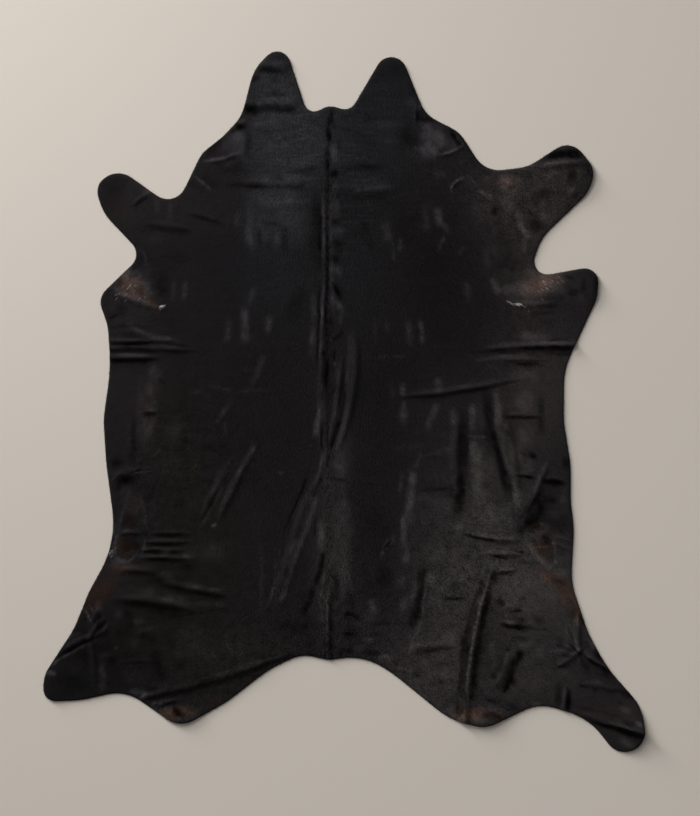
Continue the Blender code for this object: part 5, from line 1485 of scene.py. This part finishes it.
def hair_mesh(name, roots, headings, lengths, breadths, lifts, random, material):
    """Hairs that lie on the coat, joined.  Each is a closed spindle: a point at its root, a
    three-cornered ring at HAIR_MIDDLE of its length and a point at its tip, along its
    heading, each at the coat's height plus its lift.  Its numbers are the coat's at its
    root, its shade times e to the power of a draw, and its brown, tan or white share is all
    or nothing."""
    count = len(roots)
    along = np.column_stack([np.sin(headings), -np.cos(headings)])
    aside = np.column_stack([np.cos(headings), np.sin(headings)]) * 0.5 * breadths[:, None]
    middles = roots + along * (HAIR_MIDDLE * lengths)[:, None]
    tips = roots + along * lengths[:, None]
    heights = [coat_top(spots) + lift for spots, lift in zip((roots, middles, tips), lifts)]
    points = np.empty((count, HAIR_POINTS, 3))
    points[:, 0, :2] = roots
    points[:, 1, :2] = middles + aside
    points[:, 2, :2] = middles
    points[:, 3, :2] = middles - aside
    points[:, 4, :2] = tips
    points[:, :, 2] = np.stack([heights[0], heights[1], heights[1] + HAIR_HEIGHT,
                                heights[1], heights[2]], axis=1)
    triangles = HAIR_FACES[None] + HAIR_POINTS * np.arange(count)[:, None, None]
    made = mesh_object(name, points.reshape(-1, 3), triangles.reshape(-1, 3), [material])

    shade, warmth, olive, grain, wrinkles, *kinds = coat_colours(roots)
    uneven = HAIR_UNEVEN * grain
    shade = shade * np.exp(random.normal(-0.5 * uneven ** 2, uneven))
    chosen = [np.where(random.random(count) < share, 1.0, 0.0) for share in kinds]
    numbers = [np.repeat(values, HAIR_POINTS)
               for values in (shade, warmth, olive, grain, wrinkles, *chosen)]
    give_coat_numbers(made.data, numbers, np.repeat(hair_lay(roots), HAIR_POINTS))

    side = int(math.ceil(math.sqrt(count)))
    here = np.arange(count)
    square = np.stack([here % side, here // side], axis=1)[:, None, None, :]
    inside = MAP_MARGIN + (1.0 - 2.0 * MAP_MARGIN) * HAIR_ON_MAP[HAIR_FACES][None]
    give_map(made.data, ((square + inside) / side).reshape(-1, 2))
    return made


def make_coat_hair(rim, random, material):
    """The coat's hairs, in three meshes from the neck to the hem."""
    roots = shaken_grid(rim, HAIR_STEP, random)
    roots = roots + random.uniform(-ROOT_SHAKE, ROOT_SHAKE, roots.shape) * HAIR_STEP
    roots = roots[depth_inside(roots, rim) > ROOT_RIM_GAP]
    headings = hair_headings(roots, random)
    lengths = within(HAIR_LENGTH, len(roots), random)
    tips = roots + np.column_stack([np.sin(headings), -np.cos(headings)]) * lengths[:, None]
    kept = depth_inside(tips, rim) > -TIP_OVERHANG
    roots, headings, lengths = roots[kept], headings[kept], lengths[kept]
    order = np.argsort(-roots[:, 1])
    pieces = []
    for name, part in zip(("coat_hair_fore", "coat_hair_middle", "coat_hair_hind"),
                          np.array_split(order, 3)):
        breadths = within(HAIR_BREADTH, len(part), random)
        pieces.append(hair_mesh(name, roots[part], headings[part], lengths[part], breadths,
                                HAIR_LIFT, random, material))
    return pieces


def make_rim_hair(rim, random, material):
    """Short hairs along the rim, which lean outwards over it."""
    line = smooth_rim(rim, RIM_HAIR_STEP)
    inward = rim_inward(line)
    roots = line + inward * within(RIM_HAIR_BACK, len(line), random)[:, None]
    outward = np.arctan2(-inward[:, 0], inward[:, 1])
    lay = hair_lay(roots)
    headings = (outward + RIM_HAIR_LAY * np.sin(lay - outward)
                + random.normal(0.0, RIM_HAIR_SWAY, len(line)))
    lengths = within(RIM_HAIR_LENGTH, len(line), random)
    breadths = within(HAIR_BREADTH, len(line), random)
    thinner = SHEET_THICKNESS * (EDGE_SHARE - 1.0)
    root_sink, middle_share, tip_share = RIM_HAIR_SINK
    lifts = (-root_sink, middle_share * thinner, tip_share * thinner)
    return hair_mesh("rim_hair", roots, headings, lengths, breadths, lifts, random, material)


def make_spine_hair(random, material):
    """Longer hairs that stand a little along the crest of the spine and part to its
    sides."""
    along = within(SPINE_HAIRS_FROM_TO, SPINE_HAIRS, random)
    away = random.normal(0.0, SPINE_HAIR_SPREAD, SPINE_HAIRS)
    roots = np.column_stack([SPINE_X + away, along]) + TABLE_SHIFT
    headings = random.normal(0.0, SPINE_HAIR_SWAY, SPINE_HAIRS) + SPINE_PARTING * away
    lengths = within(SPINE_HAIR_LENGTH, SPINE_HAIRS, random)
    breadths = within(HAIR_BREADTH, SPINE_HAIRS, random)
    return hair_mesh("spine_hair", roots, headings, lengths, breadths, SPINE_HAIR_LIFT,
                     random, material)


# ---------------------------------------------------------------- floor, light and camera

def aim_light(name, light, place):
    """A light at a place, turned towards the origin."""
    made = bpy.data.objects.new(name, light)
    made.location = place
    made.rotation_euler = (-Vector(place)).to_track_quat("-Z", "Y").to_euler()
    bpy.context.collection.objects.link(made)
    return made


def make_stage():
    """A wide floor, a low and a high soft light from the upper left, a large soft light over
    that corner and a pale surround."""
    corners = FLOOR_REACH * np.array([(-1, -1, 0), (1, -1, 0), (1, 1, 0), (-1, 1, 0)])
    floor = mesh_object("floor", corners, np.array([(0, 1, 2), (0, 2, 3)]),
                        [floor_material()])

    for name, strength, spread, place in WIDE_LIGHTS:
        light = bpy.data.lights.new(name, "SUN")
        light.energy = strength
        light.angle = math.radians(spread)
        light.color = LIGHT_COLOUR
        aim_light(name, light, place)

    corner_light = bpy.data.lights.new("corner light", "AREA")
    corner_light.shape = "DISK"
    corner_light.size = CORNER_LIGHT_SIZE
    corner_light.energy = CORNER_LIGHT_POWER
    corner_light.color = LIGHT_COLOUR
    made = aim_light("corner light", corner_light, CORNER_LIGHT_FROM)
    made.visible_camera = False

    world = bpy.data.worlds.new("surround")
    world.use_nodes = True
    background = world.node_tree.nodes["Background"]
    background.inputs["Color"].default_value = SURROUND_COLOUR
    background.inputs["Strength"].default_value = SURROUND_STRENGTH
    bpy.context.scene.world = world


def make_camera():
    """A long lens straight above the middle of the view."""
    lens = bpy.data.cameras.new("camera")
    lens.sensor_width = SENSOR
    lens.lens = LENS
    camera = bpy.data.objects.new("camera", lens)
    camera.location = (VIEW_MIDDLE[0], VIEW_MIDDLE[1], VIEW_HEIGHT * LENS / SENSOR)
    bpy.context.collection.objects.link(camera)
    bpy.context.scene.camera = camera


# ---------------------------------------------------------------- making it

bpy.context.scene.view_settings.view_transform = "Standard"
random_numbers = np.random.default_rng(SEED)
hide_rim = smooth_rim(solid_rim(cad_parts["hide"]), RIM_STEP)
coat_finish = coat_material("black hair coat", bump=True)
hair_finish = coat_material("black hairs", bump=False)
hide_sheet = make_sheet(hide_rim, random_numbers, coat_finish, suede_material())
hair_pieces = make_coat_hair(hide_rim, random_numbers, hair_finish)
hair_pieces.append(make_rim_hair(hide_rim, random_numbers, hair_finish))
hair_pieces.append(make_spine_hair(random_numbers, hair_finish))
for piece in [hide_sheet] + hair_pieces:
    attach(piece, "root")
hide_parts("hide")

make_stage()
make_camera()
